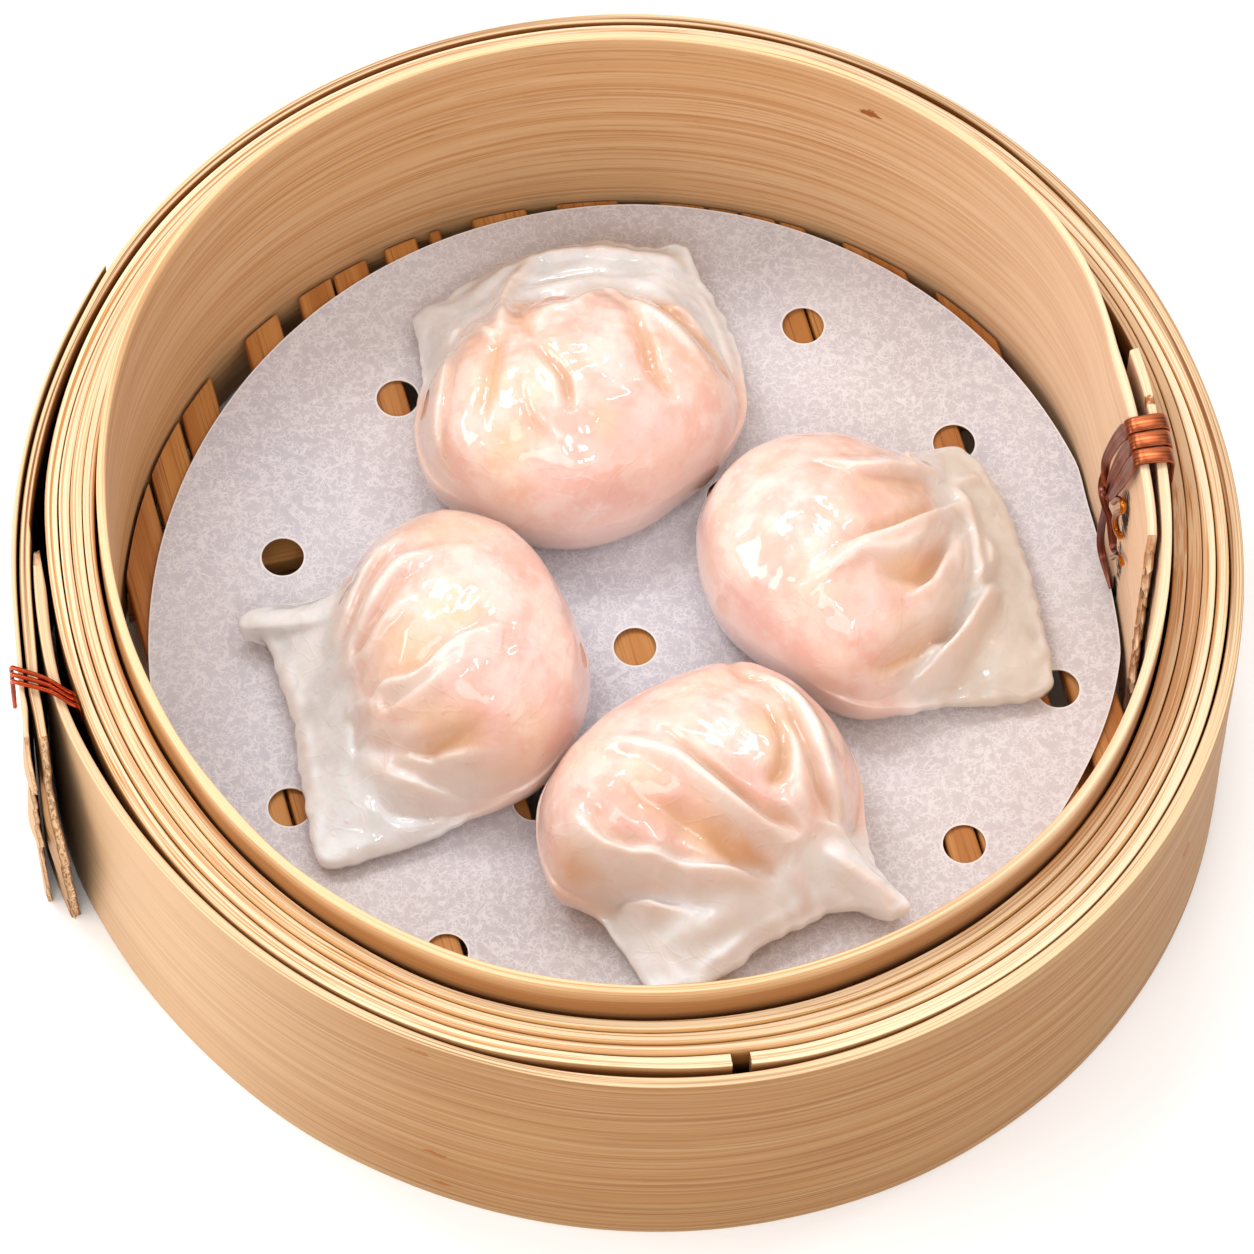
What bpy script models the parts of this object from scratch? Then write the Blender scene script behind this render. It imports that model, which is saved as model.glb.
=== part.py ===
"""Four har gow dumplings on perforated paper in a small bamboo steamer basket."""

import math

import bmesh
import bpy
import numpy as np

MM = 0.001
CENTRE = (-1.041, 1.398)

# Basket, all in millimetres
RIM_Z = 44.0
LIP_Z = 52.0
BASE_Z = 0.0
GAP = 0.3
STEP = 6.0
WRAP_THICK = 1.65
LIP_THICK = 1.5
RING_RISE = (0.0, 0.5, 1.2, 2.0)
RING_DIP = (0.0, 0.2, 0.9, 1.8)
BUTT_START = 280.4
BUTT_END = 282.3
WRAP_START = 181.0
WRAP_END = 198.0
SPLIT_START = 151.0
LAP_START = -1.3
LAP_END = 382.0

# Floor
SLAT_TILT = 16.5
SLAT_TOP = 12.0
SLAT_DEPTH = 3.6
RAIL_WIDTH = 9.0
RAIL_OFFSET = 33.0
WALL_GAP = 0.45
PAPER_Z = 12.3
PAPER_THICK = 0.3
PAPER_SIZE = (65.0, 67.3)
PAPER_CENTRE = (0.2, 3.2)
HOLE_RADIUS = 2.85
FOOD_Z = PAPER_Z + PAPER_THICK + GAP

# Basket outline: angle in degrees and outer radius
WRAP_OUT = [(181, 78.35), (190, 78.45), (200, 78.7), (210, 78.1), (222, 77.65), (240, 77.7),
            (255, 78.0), (270, 78.7), (285, 79.4), (300, 79.95), (320, 80.35), (340, 80.0),
            (360, 79.15), (378, 78.65), (392, 78.8), (405, 79.4), (420, 80.35), (440, 81.25),
            (455, 81.55), (490, 81.55), (505, 81.35), (510, 81.1), (517, 80.55), (526, 80.3),
            (540, 80.2), (549, 80.35), (554, 80.8), (558, 81.6)]
WRAP_TIP = [(44.0, 184.5, 0.0), (43.0, 182.6, 0.0), (39.0, 181.0, 0.1), (30.0, 182.0, 0.1),
            (18.0, 181.4, 0.1), (0.0, 182.5, 0.0)]
FLAP_EDGE = [(44.0, 202.5, 82.65), (39.5, 202.8, 82.6), (35.0, 204.6, 83.0), (28.0, 206.9, 83.35),
             (24.5, 207.4, 83.3), (17.0, 207.6, 83.1), (10.0, 206.8, 82.4), (4.0, 205.7, 81.9),
             (0.0, 205.4, 81.6)]
FLAP_THICK = 1.45
SKIN_OUT = [(151, 81.6), (157, 81.45), (165, 81.35), (176, 81.25), (186, 81.25), (190, 81.4),
            (194, 81.9), (198, 82.75)]
SKIN_EDGE = [(44.0, 201.9, 84.05), (41.5, 202.3, 84.1), (40.0, 204.4, 84.45), (35.5, 204.9, 84.6),
             (33.0, 202.3, 84.2), (29.0, 203.6, 84.4), (22.0, 205.3, 84.75), (17.5, 203.0, 84.2),
             (8.0, 203.4, 83.9), (0.0, 203.0, 83.6)]
SKIN_THICK = 0.75
RING_OUT = [(0, 77.1), (15, 76.9), (30, 76.85), (45, 77.3), (60, 78.3), (75, 79.25), (90, 79.55),
            (110, 79.6), (130, 79.55), (145, 79.2), (160, 78.4), (175, 77.5), (183, 76.6),
            (190, 75.95), (200, 75.5), (210, 75.45), (222, 75.6), (240, 75.7), (255, 75.9),
            (265, 75.85), (272, 76.0), (281, 76.6), (288, 77.2), (300, 77.8), (320, 78.3),
            (340, 77.8), (350, 77.4)]
RING_WIDTH = [(0, 1.6), (60, 1.6), (130, 1.6), (180, 1.7), (200, 1.5), (222, 1.8), (240, 1.8),
              (270, 1.65), (281, 1.8), (300, 2.0), (330, 1.9)]
LIP_OUT = [(-1.3, 67.35), (7, 66.95), (15, 67.0), (22, 67.6), (27, 68.8), (33, 70.2), (40, 71.35),
           (48, 72.2), (60, 72.8), (75, 73.15), (90, 73.3), (107, 73.6), (121, 73.8), (136, 73.9),
           (147, 73.5), (159, 72.5), (170, 71.1), (180, 70.0), (189, 69.3), (197, 68.9), (208, 68.5),
           (220, 68.5), (237, 68.95), (255, 69.7), (270, 70.0), (287, 70.2), (305, 70.4), (322, 70.5),
           (333, 70.2), (345, 69.6), (360, 69.2), (367, 69.2), (374, 69.6), (382, 70.2)]
RING_BORE = [(0, 70.0), (8, 70.3), (15, 70.9), (22, 71.5), (30, 72.0), (40, 72.3), (52, 72.6),
             (90, 72.0), (180, 69.0), (270, 69.0), (340, 69.4)]

# Floor slats: where each one starts and ends across the floor
SLATS = [(-62.6, -56.2), (-55.6, -50.0), (-49.5, -44.2), (-38.4, -33.0), (-29.6, -24.6),
         (-24.2, -19.2), (-16.4, -11.7), (-9.8, -8.2), (-3.6, 4.1), (8.3, 16.7), (22.0, 28.0),
         (28.4, 32.2), (32.6, 36.8), (37.2, 40.4), (44.7, 52.0), (54.9, 61.0)]

# Paper holes
HOLES = [(0.2, 1.2), (22.0, 51.8), (-32.9, 38.6), (42.7, 34.0), (-47.4, 13.6), (56.7, -3.5),
         (44.3, -27.0), (-23.4, -45.1), (-44.8, -24.3), (11.5, -50.6), (-6.4, 50.2), (-12.5, -22.4),
         (13.5, -21.8), (25.4, 1.8), (12.2, 24.6), (-12.9, 24.2), (-25.0, 0.6)]

# Dumplings: middle, height, edge points (x, y, edge height, belly share) and folds
# (kind, start, middle, end, width, height); R is a ridge, G a groove, S a lapped fold
DUMPLINGS = {
    "dumpling_back": {
        "middle": (-8.0, 31.0), "height": 24.0,
        "edge": [(-31, 50, 2, .74), (-27, 52.7, 3, .70), (-20.3, 57.2, 4, .66), (-14.2, 59.5, 4.5, .62),
                 (-6, 61.2, 5, .60), (0.8, 60.2, 5, .62), (5.4, 60.9, 5, .62), (7.4, 56.7, 5, .68),
                 (10, 52, 5, .76), (12.6, 46, 5, .84), (14.1, 38.6, 6, .95), (14.2, 32.5, 8, 1),
                 (11.4, 26, 9, 1), (6.3, 20.7, 9, 1), (0.3, 16.1, 9, 1), (-7.5, 13.4, 9, 1),
                 (-15.5, 13.9, 9, 1), (-22.7, 17.2, 9, 1), (-27.8, 21, 9, 1), (-30, 27.3, 8, 1),
                 (-30.1, 33.9, 6, .97), (-29.6, 39.6, 3, .88), (-30.4, 45.4, 2, .78)],
        "folds": [("S", (-26.4, 20.2), (-27.3, 30.6), (-24.4, 47.9), 5.0, -1.3),
                  ("S", (-6.2, 13.8), (-17.6, 15.0), (-26.4, 20.2), 4.0, -1.0),
                  ("G", (-12.8, 33.5), (-9.8, 27.3), (-8.9, 23.4), 1.3, 1.2),
                  ("G", (-1.7, 43.1), (1.2, 33.6), (4.2, 27.6), 1.6, 1.3),
                  ("G", (-19.0, 36.8), (-19.6, 29.5), (-21.1, 22.9), 1.6, 1.0),
                  ("G", (-18.8, 47.5), (-5.8, 49.6), (6.4, 40.2), 1.6, 1.6),
                  ("G", (6.4, 40.2), (10.9, 34.6), (13.2, 30.1), 1.5, 1.4),
                  ("R", (-18.0, 42.0), (-19.4, 51.3), (-15.2, 57.1), 1.5, 1.0),
                  ("R", (-11.3, 54.1), (-5.9, 57.1), (-0.5, 55.3), 1.8, 0.8)],
    },
    "dumpling_right": {
        "middle": (24.0, 8.5), "height": 23.0,
        "edge": [(24.3, 28, 9, 1), (29.5, 27.8, 8, 1), (35, 28, 6, .92), (39.8, 29.6, 5, .80),
                 (43, 30.3, 5, .72), (46.5, 27.6, 4, .68), (49.3, 22.5, 3.5, .66), (51.6, 16.4, 3, .66),
                 (53.8, 8.1, 3, .64), (55.4, 0.5, 3, .62), (56, -3.7, 2.5, .62), (54.1, -6, 2, .64),
                 (48.9, -7.2, 2, .70), (42.2, -8.2, 3, .80), (36.1, -10.2, 6, .95), (31, -11.4, 8, 1),
                 (26.2, -10.2, 9, 1), (20.9, -6.6, 9, 1), (15.9, -2.9, 9, 1), (11.7, 1.2, 9, 1),
                 (9.1, 6.2, 9, 1), (8, 12, 9, 1), (8.6, 17.4, 9, 1), (11.6, 22.6, 9, 1),
                 (17, 26.5, 9, 1)],
        "folds": [("S", (26.9, 20.0), (32.0, 17.5), (41.1, 22.8), 5.0, 1.4),
                  ("S", (31.8, 6.6), (36.7, 10.2), (43.8, 18.7), 6.0, 1.8),
                  ("R", (26.1, 1.7), (32.0, 4.5), (41.0, 11.2), 2.2, 1.2),
                  ("G", (33.8, 3.4), (38.1, 6.3), (42.4, 11.8), 2.4, 1.8),
                  ("S", (43.6, 12.6), (40.2, 5.6), (37.2, 1.0), 5.0, 1.5),
                  ("G", (33.3, -7.6), (40.7, -1.2), (45.0, 7.9), 2.0, 2.2),
                  ("R", (38.6, -7.2), (43.5, -1.7), (47.6, 7.5), 1.8, 1.8),
                  ("G", (42.5, -6.9), (46.3, -0.9), (47.2, 5.4), 2.5, 1.1)],
    },
    "dumpling_left": {
        "middle": (-22.0, -5.0), "height": 24.0,
        "edge": [(-24.3, 14.7, 9, 1), (-30, 13.2, 9, 1), (-35, 9.6, 9, 1), (-38, 7, 7, 1),
                 (-40, 5.8, 4, .90), (-44.6, 4.7, 3, .78), (-49.1, 3.7, 3, .66), (-52, 2.4, 4, .62),
                 (-52.4, 0.1, 4, .62), (-49.2, -1, 3, .66), (-47.3, -6.3, 3, .68), (-45, -12.7, 3, .70),
                 (-43.9, -19, 3, .70), (-42.7, -25.4, 2.5, .70), (-41.3, -32, 2.5, .66),
                 (-39, -34.2, 2, .64), (-33.2, -32.4, 2, .70), (-26.7, -30, 2, .80),
                 (-21.2, -27.2, 3, .90), (-16.6, -25.8, 6, 1), (-11.9, -23.4, 8, 1),
                 (-8.2, -18.6, 9, 1), (-6, -13.4, 9, 1), (-5.7, -6.8, 9, 1), (-8, 0.3, 9, 1),
                 (-12.2, 7.7, 9, 1), (-17.5, 12.3, 9, 1)],
        "folds": [("S", (-17.5, -8.6), (-25.1, -13.3), (-37.0, -15.2), 6.0, 1.8),
                  ("S", (-19.7, -21.0), (-24.6, -22.6), (-29.1, -22.8), 4.0, 1.2),
                  ("S", (-13.1, -22.8), (-23.3, -25.0), (-32.1, -22.5), 5.0, 1.2),
                  ("R", (-34.0, 5.5), (-36.9, -3.3), (-39.6, -11.3), 1.5, 1.2),
                  ("R", (-30.2, 1.4), (-34.7, -4.0), (-37.8, -12.4), 1.4, 1.0),
                  ("G", (-28.2, 0.4), (-32.2, -6.9), (-35.4, -13.0), 1.6, 0.9),
                  ("S", (-31.6, -27.8), (-22.2, -26.6), (-11.8, -23.3), 5.0, 2.2),
                  ("R", (-39.6, -18.6), (-36.8, -21.8), (-32.1, -23.1), 1.5, 0.8)],
    },
    "dumpling_front": {
        "middle": (9.0, -25.0), "height": 23.0,
        "edge": [(14.1, -7, 9, 1), (20, -8.7, 9, 1), (25.2, -13.2, 9, 1), (28.6, -17.7, 9, 1),
                 (30.4, -22.4, 8, 1), (31, -27.4, 6, .97), (31.9, -31.3, 4, .88), (34.4, -35.4, 3.5, .74),
                 (36.9, -38.3, 4, .66), (35.4, -40.2, 4, .66), (30.8, -38.9, 4, .70),
                 (26.6, -39.6, 4, .74), (22.7, -42, 4, .76), (18.2, -44.3, 4, .74), (15, -47.5, 4, .70),
                 (11.1, -49.9, 3, .66), (7.3, -52.2, 2.5, .62), (4, -51.6, 2, .62), (0.7, -47.1, 2, .70),
                 (-2.9, -42, 3, .90), (-5.9, -40.6, 6, 1), (-9.5, -39.3, 8, 1), (-11.3, -35.6, 9, 1),
                 (-12.1, -31.4, 9, 1), (-11.6, -26.3, 9, 1), (-8.6, -20.8, 9, 1), (-3, -15, 9, 1),
                 (5, -10, 9, 1)],
        "folds": [("R", (-4.0, -22.6), (6.4, -28.5), (15.3, -32.3), 2.2, 1.6),
                  ("R", (15.3, -32.3), (19.6, -34.9), (22.2, -36.7), 2.0, 1.2),
                  ("G", (1.3, -29.9), (11.2, -36.5), (19.2, -38.3), 2.6, 1.8),
                  ("R", (-6.9, -33.4), (1.6, -38.8), (14.8, -39.0), 1.9, 1.6),
                  ("G", (-6.2, -38.9), (-0.6, -40.7), (6.4, -41.6), 1.6, 1.9),
                  ("G", (17.4, -24.9), (19.7, -30.4), (22.8, -33.5), 1.3, 1.2),
                  ("G", (19.9, -15.0), (23.6, -26.5), (25.8, -31.4), 1.4, 1.2),
                  ("R", (22.2, -16.7), (25.7, -24.3), (27.2, -31.8), 1.7, 1.4),
                  ("G", (28.2, -18.7), (29.1, -26.1), (27.8, -33.1), 1.3, 0.9),
                  ("R", (8.4, -47.3), (11.2, -44.7), (15.5, -43.5), 2.0, 0.9)],
    },
}
NECK_RISE = 7.0
FLANGE_HALF = 0.7
SAMPLES = 2
SHELLS = 8
UNDER = (1.0, 0.93, 0.8, 0.55)

# Ties
STRAP_ANGLES = (12.4, 10.3, 8.2)
STRAP_WIDTH = 2.3
STRAP_THICK = 0.5
STRAND_RADIUS = 0.3
STRAND_STARTS = (194.9, 195.6, 196.3)
STRAND_SWING = 4.6

COLOURS = {
    "bamboo_pale": (0.78, 0.55, 0.29, 0.45),
    "bamboo_wall": (0.62, 0.40, 0.19, 0.5),
    "bamboo_floor": (0.50, 0.25, 0.08, 0.55),
    "paper": (0.62, 0.57, 0.57, 0.8),
    "dumpling_skin": (0.80, 0.52, 0.42, 0.25),
    "copper_strap": (0.33, 0.12, 0.06, 0.3),
    "copper_wire": (0.42, 0.10, 0.03, 0.25),
}


def clear_scene():
    for item in list(bpy.data.objects):
        bpy.data.objects.remove(item, do_unlink=True)


def material(name):
    found = bpy.data.materials.get(name)
    if found:
        return found
    made = bpy.data.materials.new(name)
    made.use_nodes = True
    shader = made.node_tree.nodes["Principled BSDF"]
    red, green, blue, rough = COLOURS[name]
    shader.inputs["Base Color"].default_value = (red, green, blue, 1.0)
    shader.inputs["Roughness"].default_value = rough
    return made


def solid(name, points, faces, look):
    mesh = bpy.data.meshes.new(name)
    placed = [((x - CENTRE[0]) * MM, (y - CENTRE[1]) * MM, z * MM) for x, y, z in points]
    mesh.from_pydata(placed, [], faces)
    work = bmesh.new()
    work.from_mesh(mesh)
    bmesh.ops.recalc_face_normals(work, faces=work.faces)
    work.to_mesh(mesh)
    work.free()
    mesh.materials.append(material(look))
    made = bpy.data.objects.new(name, mesh)
    bpy.context.scene.collection.objects.link(made)
    return made


def polar(angle, radius, z):
    turn = math.radians(angle)
    return (radius * math.cos(turn), radius * math.sin(turn), z)


def curve(knots, at, period=0.0):
    if period:
        at = at % period
        first, last = knots[0], knots[-1]
        before = (last[0] - period, last[1])
        knots = [before] + list(knots) + [(first[0] + period, first[1]),
                                          (knots[1][0] + period, knots[1][1])]
    at = min(max(at, knots[0][0]), knots[-1][0])
    place = 0
    while place < len(knots) - 2 and at > knots[place + 1][0]:
        place += 1
    (x0, y0), (x1, y1) = knots[place], knots[place + 1]
    span = x1 - x0

    def slope(index):
        low = max(index - 1, 0)
        high = min(index + 1, len(knots) - 1)
        return (knots[high][1] - knots[low][1]) / (knots[high][0] - knots[low][0])

    t = (at - x0) / span
    a = (1 + 2 * t) * (1 - t) ** 2
    b = t * (1 - t) ** 2
    c = t * t * (3 - 2 * t)
    d = t * t * (t - 1)
    return a * y0 + b * span * slope(place) + c * y1 + d * span * slope(place + 1)


def stations(start, end, step=STEP):
    inner = [k * step for k in range(math.ceil((start + 0.8) / step), math.floor((end - 0.8) / step) + 1)]
    return [start] + inner + [end]


def band(name, columns, look, closed=False):
    """A bent strip: each column lists (angle, outer radius, inner radius, z) from top to bottom."""
    points, marks = [], []
    for column in columns:
        outer, inner = [], []
        for angle, out, bore, z in column:
            outer.append(len(points))
            points.append(polar(angle, out, z))
            inner.append(len(points))
            points.append(polar(angle, bore, z))
        marks.append((outer, inner))
    faces = []
    pairs = list(zip(marks, marks[1:]))
    if closed:
        pairs.append((marks[-1], marks[0]))
    for (out_a, in_a), (out_b, in_b) in pairs:
        faces.append((out_a[0], out_b[0], in_b[0], in_a[0]))
        faces.append((out_a[-1], in_a[-1], in_b[-1], out_b[-1]))
        for left, right in ((out_a, out_b), (in_b, in_a)):
            if len(left) == len(right):
                faces += [(left[k], left[k + 1], right[k + 1], right[k]) for k in range(len(left) - 1)]
                continue
            many, few = (left, right) if len(left) > len(right) else (right, left)
            half = len(many) // 2
            faces += [(few[0], many[k], many[k + 1]) for k in range(half)]
            faces += [(few[-1], many[k], many[k + 1]) for k in range(half, len(many) - 1)]
            faces.append((few[0], few[-1], many[half]))
    if not closed:
        for outer, inner in (marks[0], marks[-1]):
            for k in range(len(outer) - 1):
                faces.append((outer[k], outer[k + 1], inner[k + 1], inner[k]))
    return solid(name, points, faces, look)


def bump(angle, start, end, blur):
    angle = (angle + 180.0) % 360.0 - 180.0
    up = min(max((angle - start) / blur, 0.0), 1.0)
    down = min(max((end - angle) / blur, 0.0), 1.0)
    return min(up, down)


def ring_edges(angle):
    """The five ring boundaries at one angle, from the outermost ring's outside inwards."""
    outer = curve(RING_OUT, angle, 360.0)
    first = outer - curve(RING_WIDTH, angle, 360.0)
    lap = angle % 360.0
    lap = lap + 360.0 if lap < LAP_END - 360.0 + 5.0 else lap
    bore = max(curve(RING_BORE, angle, 360.0), curve(LIP_OUT, lap) + GAP + 0.05)
    return [outer] + [first + (bore - first) * k / 3.0 for k in range(4)]


def make_rings():
    for index, name in enumerate(("ring_a", "ring_b", "ring_c", "ring_d")):
        if index == 0:
            angles = stations(BUTT_END, BUTT_START + 360.0)
        else:
            angles = [k * STEP for k in range(int(360 / STEP))]
        columns = []
        for angle in angles:
            edges = ring_edges(angle)
            dip = RING_DIP[index] * bump(angle, -4.0, 52.0, 14.0)
            top = RIM_Z + RING_RISE[index] - dip
            outer = edges[index] - (GAP if index else 0.0)
            columns.append([(angle, outer, edges[index + 1], top),
                            (angle, outer, edges[index + 1], BASE_Z)])
        band(name, columns, "bamboo_pale", closed=index > 0)


def make_wrap():
    columns = [[(angle, curve(WRAP_OUT, angle) - shift, curve(WRAP_OUT, angle) - 0.75 + shift, z)
                for z, angle, shift in WRAP_TIP]]
    for angle in stations(188.0, WRAP_END + 360.0):
        out = curve(WRAP_OUT, angle)
        thick = WRAP_THICK - 0.25 * bump(angle, 150.0, 200.0, 8.0) * (angle > 400.0)
        thick += 0.1 * (angle < 200.0)
        columns.append([(angle, out, out - thick, RIM_Z), (angle, out, out - thick, BASE_Z)])
    columns.append([(angle + 360.0, out, out - FLAP_THICK, z) for z, angle, out in FLAP_EDGE])
    band("outer_wrap", columns, "bamboo_wall")


def make_outer_skin():
    columns = []
    for angle in stations(SPLIT_START, 198.0):
        out = curve(SKIN_OUT, angle)
        bore = max(curve(WRAP_OUT, angle + 360.0) + GAP, out - 0.95)
        columns.append([(angle, out, min(bore, out - 0.12), RIM_Z), (angle, out, min(bore, out - 0.12), BASE_Z)])
    columns.append([(angle, out, out - SKIN_THICK, z) for z, angle, out in SKIN_EDGE])
    band("outer_skin", columns, "bamboo_wall")


def make_lip():
    columns = []
    for angle in stations(LAP_START, LAP_END):
        out = curve(LIP_OUT, angle)
        columns.append([(angle, out, out - LIP_THICK, LIP_Z), (angle, out, out - LIP_THICK, BASE_Z)])
    band("inner_lip", columns, "bamboo_wall")


def bore_at(angle):
    angle = angle % 360.0
    angle = angle + 360.0 if angle < LAP_START else angle
    return curve(LIP_OUT, angle) - LIP_THICK


def prism(name, outline, low, high, look):
    count = len(outline)
    points = [(x, y, high) for x, y in outline] + [(x, y, low) for x, y in outline]
    faces = [tuple(range(count)), tuple(range(2 * count - 1, count - 1, -1))]
    faces += [(k, k + count, (k + 1) % count + count, (k + 1) % count) for k in range(count)]
    return solid(name, points, faces, look)


def reach(across, side, tilt):
    """How far along its length a floor piece can run before it meets the wall."""
    ux, uy = math.cos(tilt), math.sin(tilt)
    along = 0.0
    while along < 90.0:
        trial = along + 0.2
        x = across * ux + side * trial * uy
        y = across * uy - side * trial * ux
        if math.hypot(x, y) > bore_at(math.degrees(math.atan2(y, x))) - WALL_GAP:
            break
        along = trial
    return side * along


def floor_piece(name, start, end, tilt, low, high, look):
    ux, uy = math.cos(tilt), math.sin(tilt)
    outline = []
    for across, side in ((start, -1), (end, -1), (end, 1), (start, 1)):
        along = reach(across, side, tilt)
        outline.append((across * ux + along * uy, across * uy - along * ux))
    return prism(name, outline, low, high, look)


def make_floor():
    tilt = math.radians(SLAT_TILT)
    low = SLAT_TOP - SLAT_DEPTH
    for number, (start, end) in enumerate(SLATS, 1):
        floor_piece(f"slat_{number:02d}", start, end, tilt, low, SLAT_TOP, "bamboo_floor")
    for number, side in enumerate((-1, 1), 1):
        middle = side * RAIL_OFFSET
        floor_piece(f"rail_{number}", middle - RAIL_WIDTH / 2, middle + RAIL_WIDTH / 2,
                    tilt + math.pi / 2, BASE_Z, low - GAP, "bamboo_floor")


def make_paper():
    loops = []
    edge = []
    for k in range(56):
        turn = 2 * math.pi * k / 56
        x = PAPER_CENTRE[0] + PAPER_SIZE[0] * math.cos(turn)
        y = PAPER_CENTRE[1] + PAPER_SIZE[1] * math.sin(turn)
        limit = bore_at(math.degrees(math.atan2(y, x))) - WALL_GAP
        scale = min(1.0, limit / math.hypot(x, y))
        edge.append((x * scale, y * scale))
    loops.append(edge)
    for x, y in HOLES:
        loops.append([(x + HOLE_RADIUS * math.cos(k * math.pi / 6), y + HOLE_RADIUS * math.sin(k * math.pi / 6))
                      for k in range(12)])
    work = bmesh.new()
    edges = []
    for loop in loops:
        ring = [work.verts.new((x, y, PAPER_Z + PAPER_THICK)) for x, y in loop]
        edges += [work.edges.new((ring[k], ring[(k + 1) % len(ring)])) for k in range(len(ring))]
    work.verts.index_update()
    bmesh.ops.triangle_fill(work, use_beauty=True, use_dissolve=False, edges=edges)
    points = [tuple(v.co) for v in work.verts]
    tops = [tuple(v.index for v in face.verts) for face in work.faces]
    work.free()
    count = len(points)
    points += [(x, y, PAPER_Z) for x, y, _ in points]
    faces = list(tops) + [tuple(count + k for k in reversed(face)) for face in tops]
    start = 0
    for loop in loops:
        size = len(loop)
        for k in range(size):
            a, b = start + k, start + (k + 1) % size
            faces.append((a, b, b + count, a + count))
        start += size
    solid("paper_liner", points, faces, "paper")


def edge_loop(knots, samples):
    """A smooth closed edge through the knots; the flange gets as many points as the belly."""
    table = np.array(knots, float)
    count = len(table)
    rows = []
    for k in range(count):
        a, b, c, d = (table[(k + step) % count] for step in (-1, 0, 1, 2))
        for j in range(samples):
            t = j / samples
            rows.append(0.5 * (2 * b + (c - a) * t + (2 * a - 5 * b + 4 * c - d) * t * t
                               + (3 * b - a - 3 * c + d) * t ** 3))
    return np.array(rows)


def smooth_step(value):
    value = np.clip(value, 0.0, 1.0)
    return value * value * (3.0 - 2.0 * value)


def smooth_max(a, b, blend):
    mix = np.clip(0.5 + 0.5 * (a - b) / blend, 0.0, 1.0)
    return b + (a - b) * mix + blend * mix * (1.0 - mix)


def body_height(share, radius, edge, belly, height):
    """Height of the skin over the paper: a plump belly running out into a thin flange."""
    inside = np.clip(share / belly, 0.0, 1.0)
    dome = edge + (height - edge) * np.sqrt(1.0 - inside ** 2.3)
    dome = np.where(share < belly, dome, edge - 16.0 * (share / belly - 1.0))
    flange = smooth_step((1.0 - belly) / 0.14)
    away = (1.0 - share) / np.maximum(1.0 - belly, 0.02)
    skirt = edge + FLANGE_HALF + NECK_RISE * np.clip(away, 0.0, 1.6) ** 1.4 - 30.0 * (1.0 - flange)
    full = smooth_max(dome, skirt, 3.0)
    turn = np.clip((1.0 - share) * radius / (0.9 + 1.5 * (1.0 - flange)), 0.0, 1.0)
    return edge + (full - edge) * np.sqrt(1.0 - (1.0 - turn) ** 2)


def fold_height(x, y, fold):
    """Height one fold adds, following a bent line through its three points."""
    kind, start, middle, end, width, height = fold
    start, middle, end = (np.array(p, float) for p in (start, middle, end))
    control = 2 * middle - (start + end) / 2
    best = np.full(x.shape, 1e9)
    side = np.zeros(x.shape)
    along = np.zeros(x.shape)
    pieces = 12
    previous = start
    for k in range(1, pieces + 1):
        t = k / pieces
        point = (1 - t) ** 2 * start + 2 * t * (1 - t) * control + t * t * end
        run = point - previous
        length = max(float(run @ run), 1e-9)
        u = np.clip(((x - previous[0]) * run[0] + (y - previous[1]) * run[1]) / length, 0.0, 1.0)
        dx, dy = x - previous[0] - u * run[0], y - previous[1] - u * run[1]
        far = np.hypot(dx, dy)
        near = far < best
        best = np.where(near, far, best)
        side = np.where(near, np.sign(run[0] * (y - previous[1]) - run[1] * (x - previous[0])), side)
        along = np.where(near, (k - 1 + u) / pieces, along)
        previous = point
    taper = smooth_step(along / 0.18) * smooth_step((1.0 - along) / 0.18)
    if kind == "R":
        return height * taper * np.exp(-(best / width) ** 2)
    if kind == "G":
        return -height * taper * np.exp(-(best / width) ** 2)
    signed = best * side * math.copysign(1.0, height)
    lap = np.exp(-np.maximum(signed, 0.0) / width) * smooth_step((signed + 0.6) / 0.9)
    return abs(height) * taper * lap


def make_dumpling(name, spec):
    cx, cy = spec["middle"]
    edge = edge_loop(spec["edge"], SAMPLES)
    count = len(edge)
    span = np.hypot(edge[:, 0] - cx, edge[:, 1] - cy)
    belly = np.minimum(edge[:, 3], 1.0)
    points = [(cx, cy, FOOD_Z + spec["height"])]
    rows = []
    for level in range(1, SHELLS + 1):
        share = 1.0 - (1.0 - level / SHELLS) ** 1.35
        x = cx + share * (edge[:, 0] - cx)
        y = cy + share * (edge[:, 1] - cy)
        z = body_height(np.full(count, share), span, edge[:, 2], belly, spec["height"])
        fade = smooth_step((1.0 - share) * span / 2.5)
        for fold in spec["folds"]:
            z = z + fade * fold_height(x, y, fold)
        rows.append(len(points))
        points += [(float(a), float(b), FOOD_Z + float(c)) for a, b, c in zip(x, y, z)]
    for share in UNDER[1:]:
        inset = np.minimum((1.0 - share) / 0.2, 1.0)
        x = cx + share * (edge[:, 0] - cx)
        y = cy + share * (edge[:, 1] - cy)
        under = (edge[:, 2] - FLANGE_HALF) * (1.0 - np.sqrt(1.0 - (1.0 - inset) ** 2))
        rows.append(len(points))
        points += [(float(a), float(b), FOOD_Z + float(c)) for a, b, c in zip(x, y, np.maximum(under, 0.0))]
    foot = len(points)
    points.append((cx, cy, FOOD_Z))
    faces = [(0, rows[0] + k, rows[0] + (k + 1) % count) for k in range(count)]
    for upper, lower in zip(rows, rows[1:]):
        for k in range(count):
            nxt = (k + 1) % count
            faces.append((upper + k, lower + k, lower + nxt))
            faces.append((upper + k, lower + nxt, upper + nxt))
    faces += [(foot, rows[-1] + (k + 1) % count, rows[-1] + k) for k in range(count)]
    solid(name, points, faces, "dumpling_skin")


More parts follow.
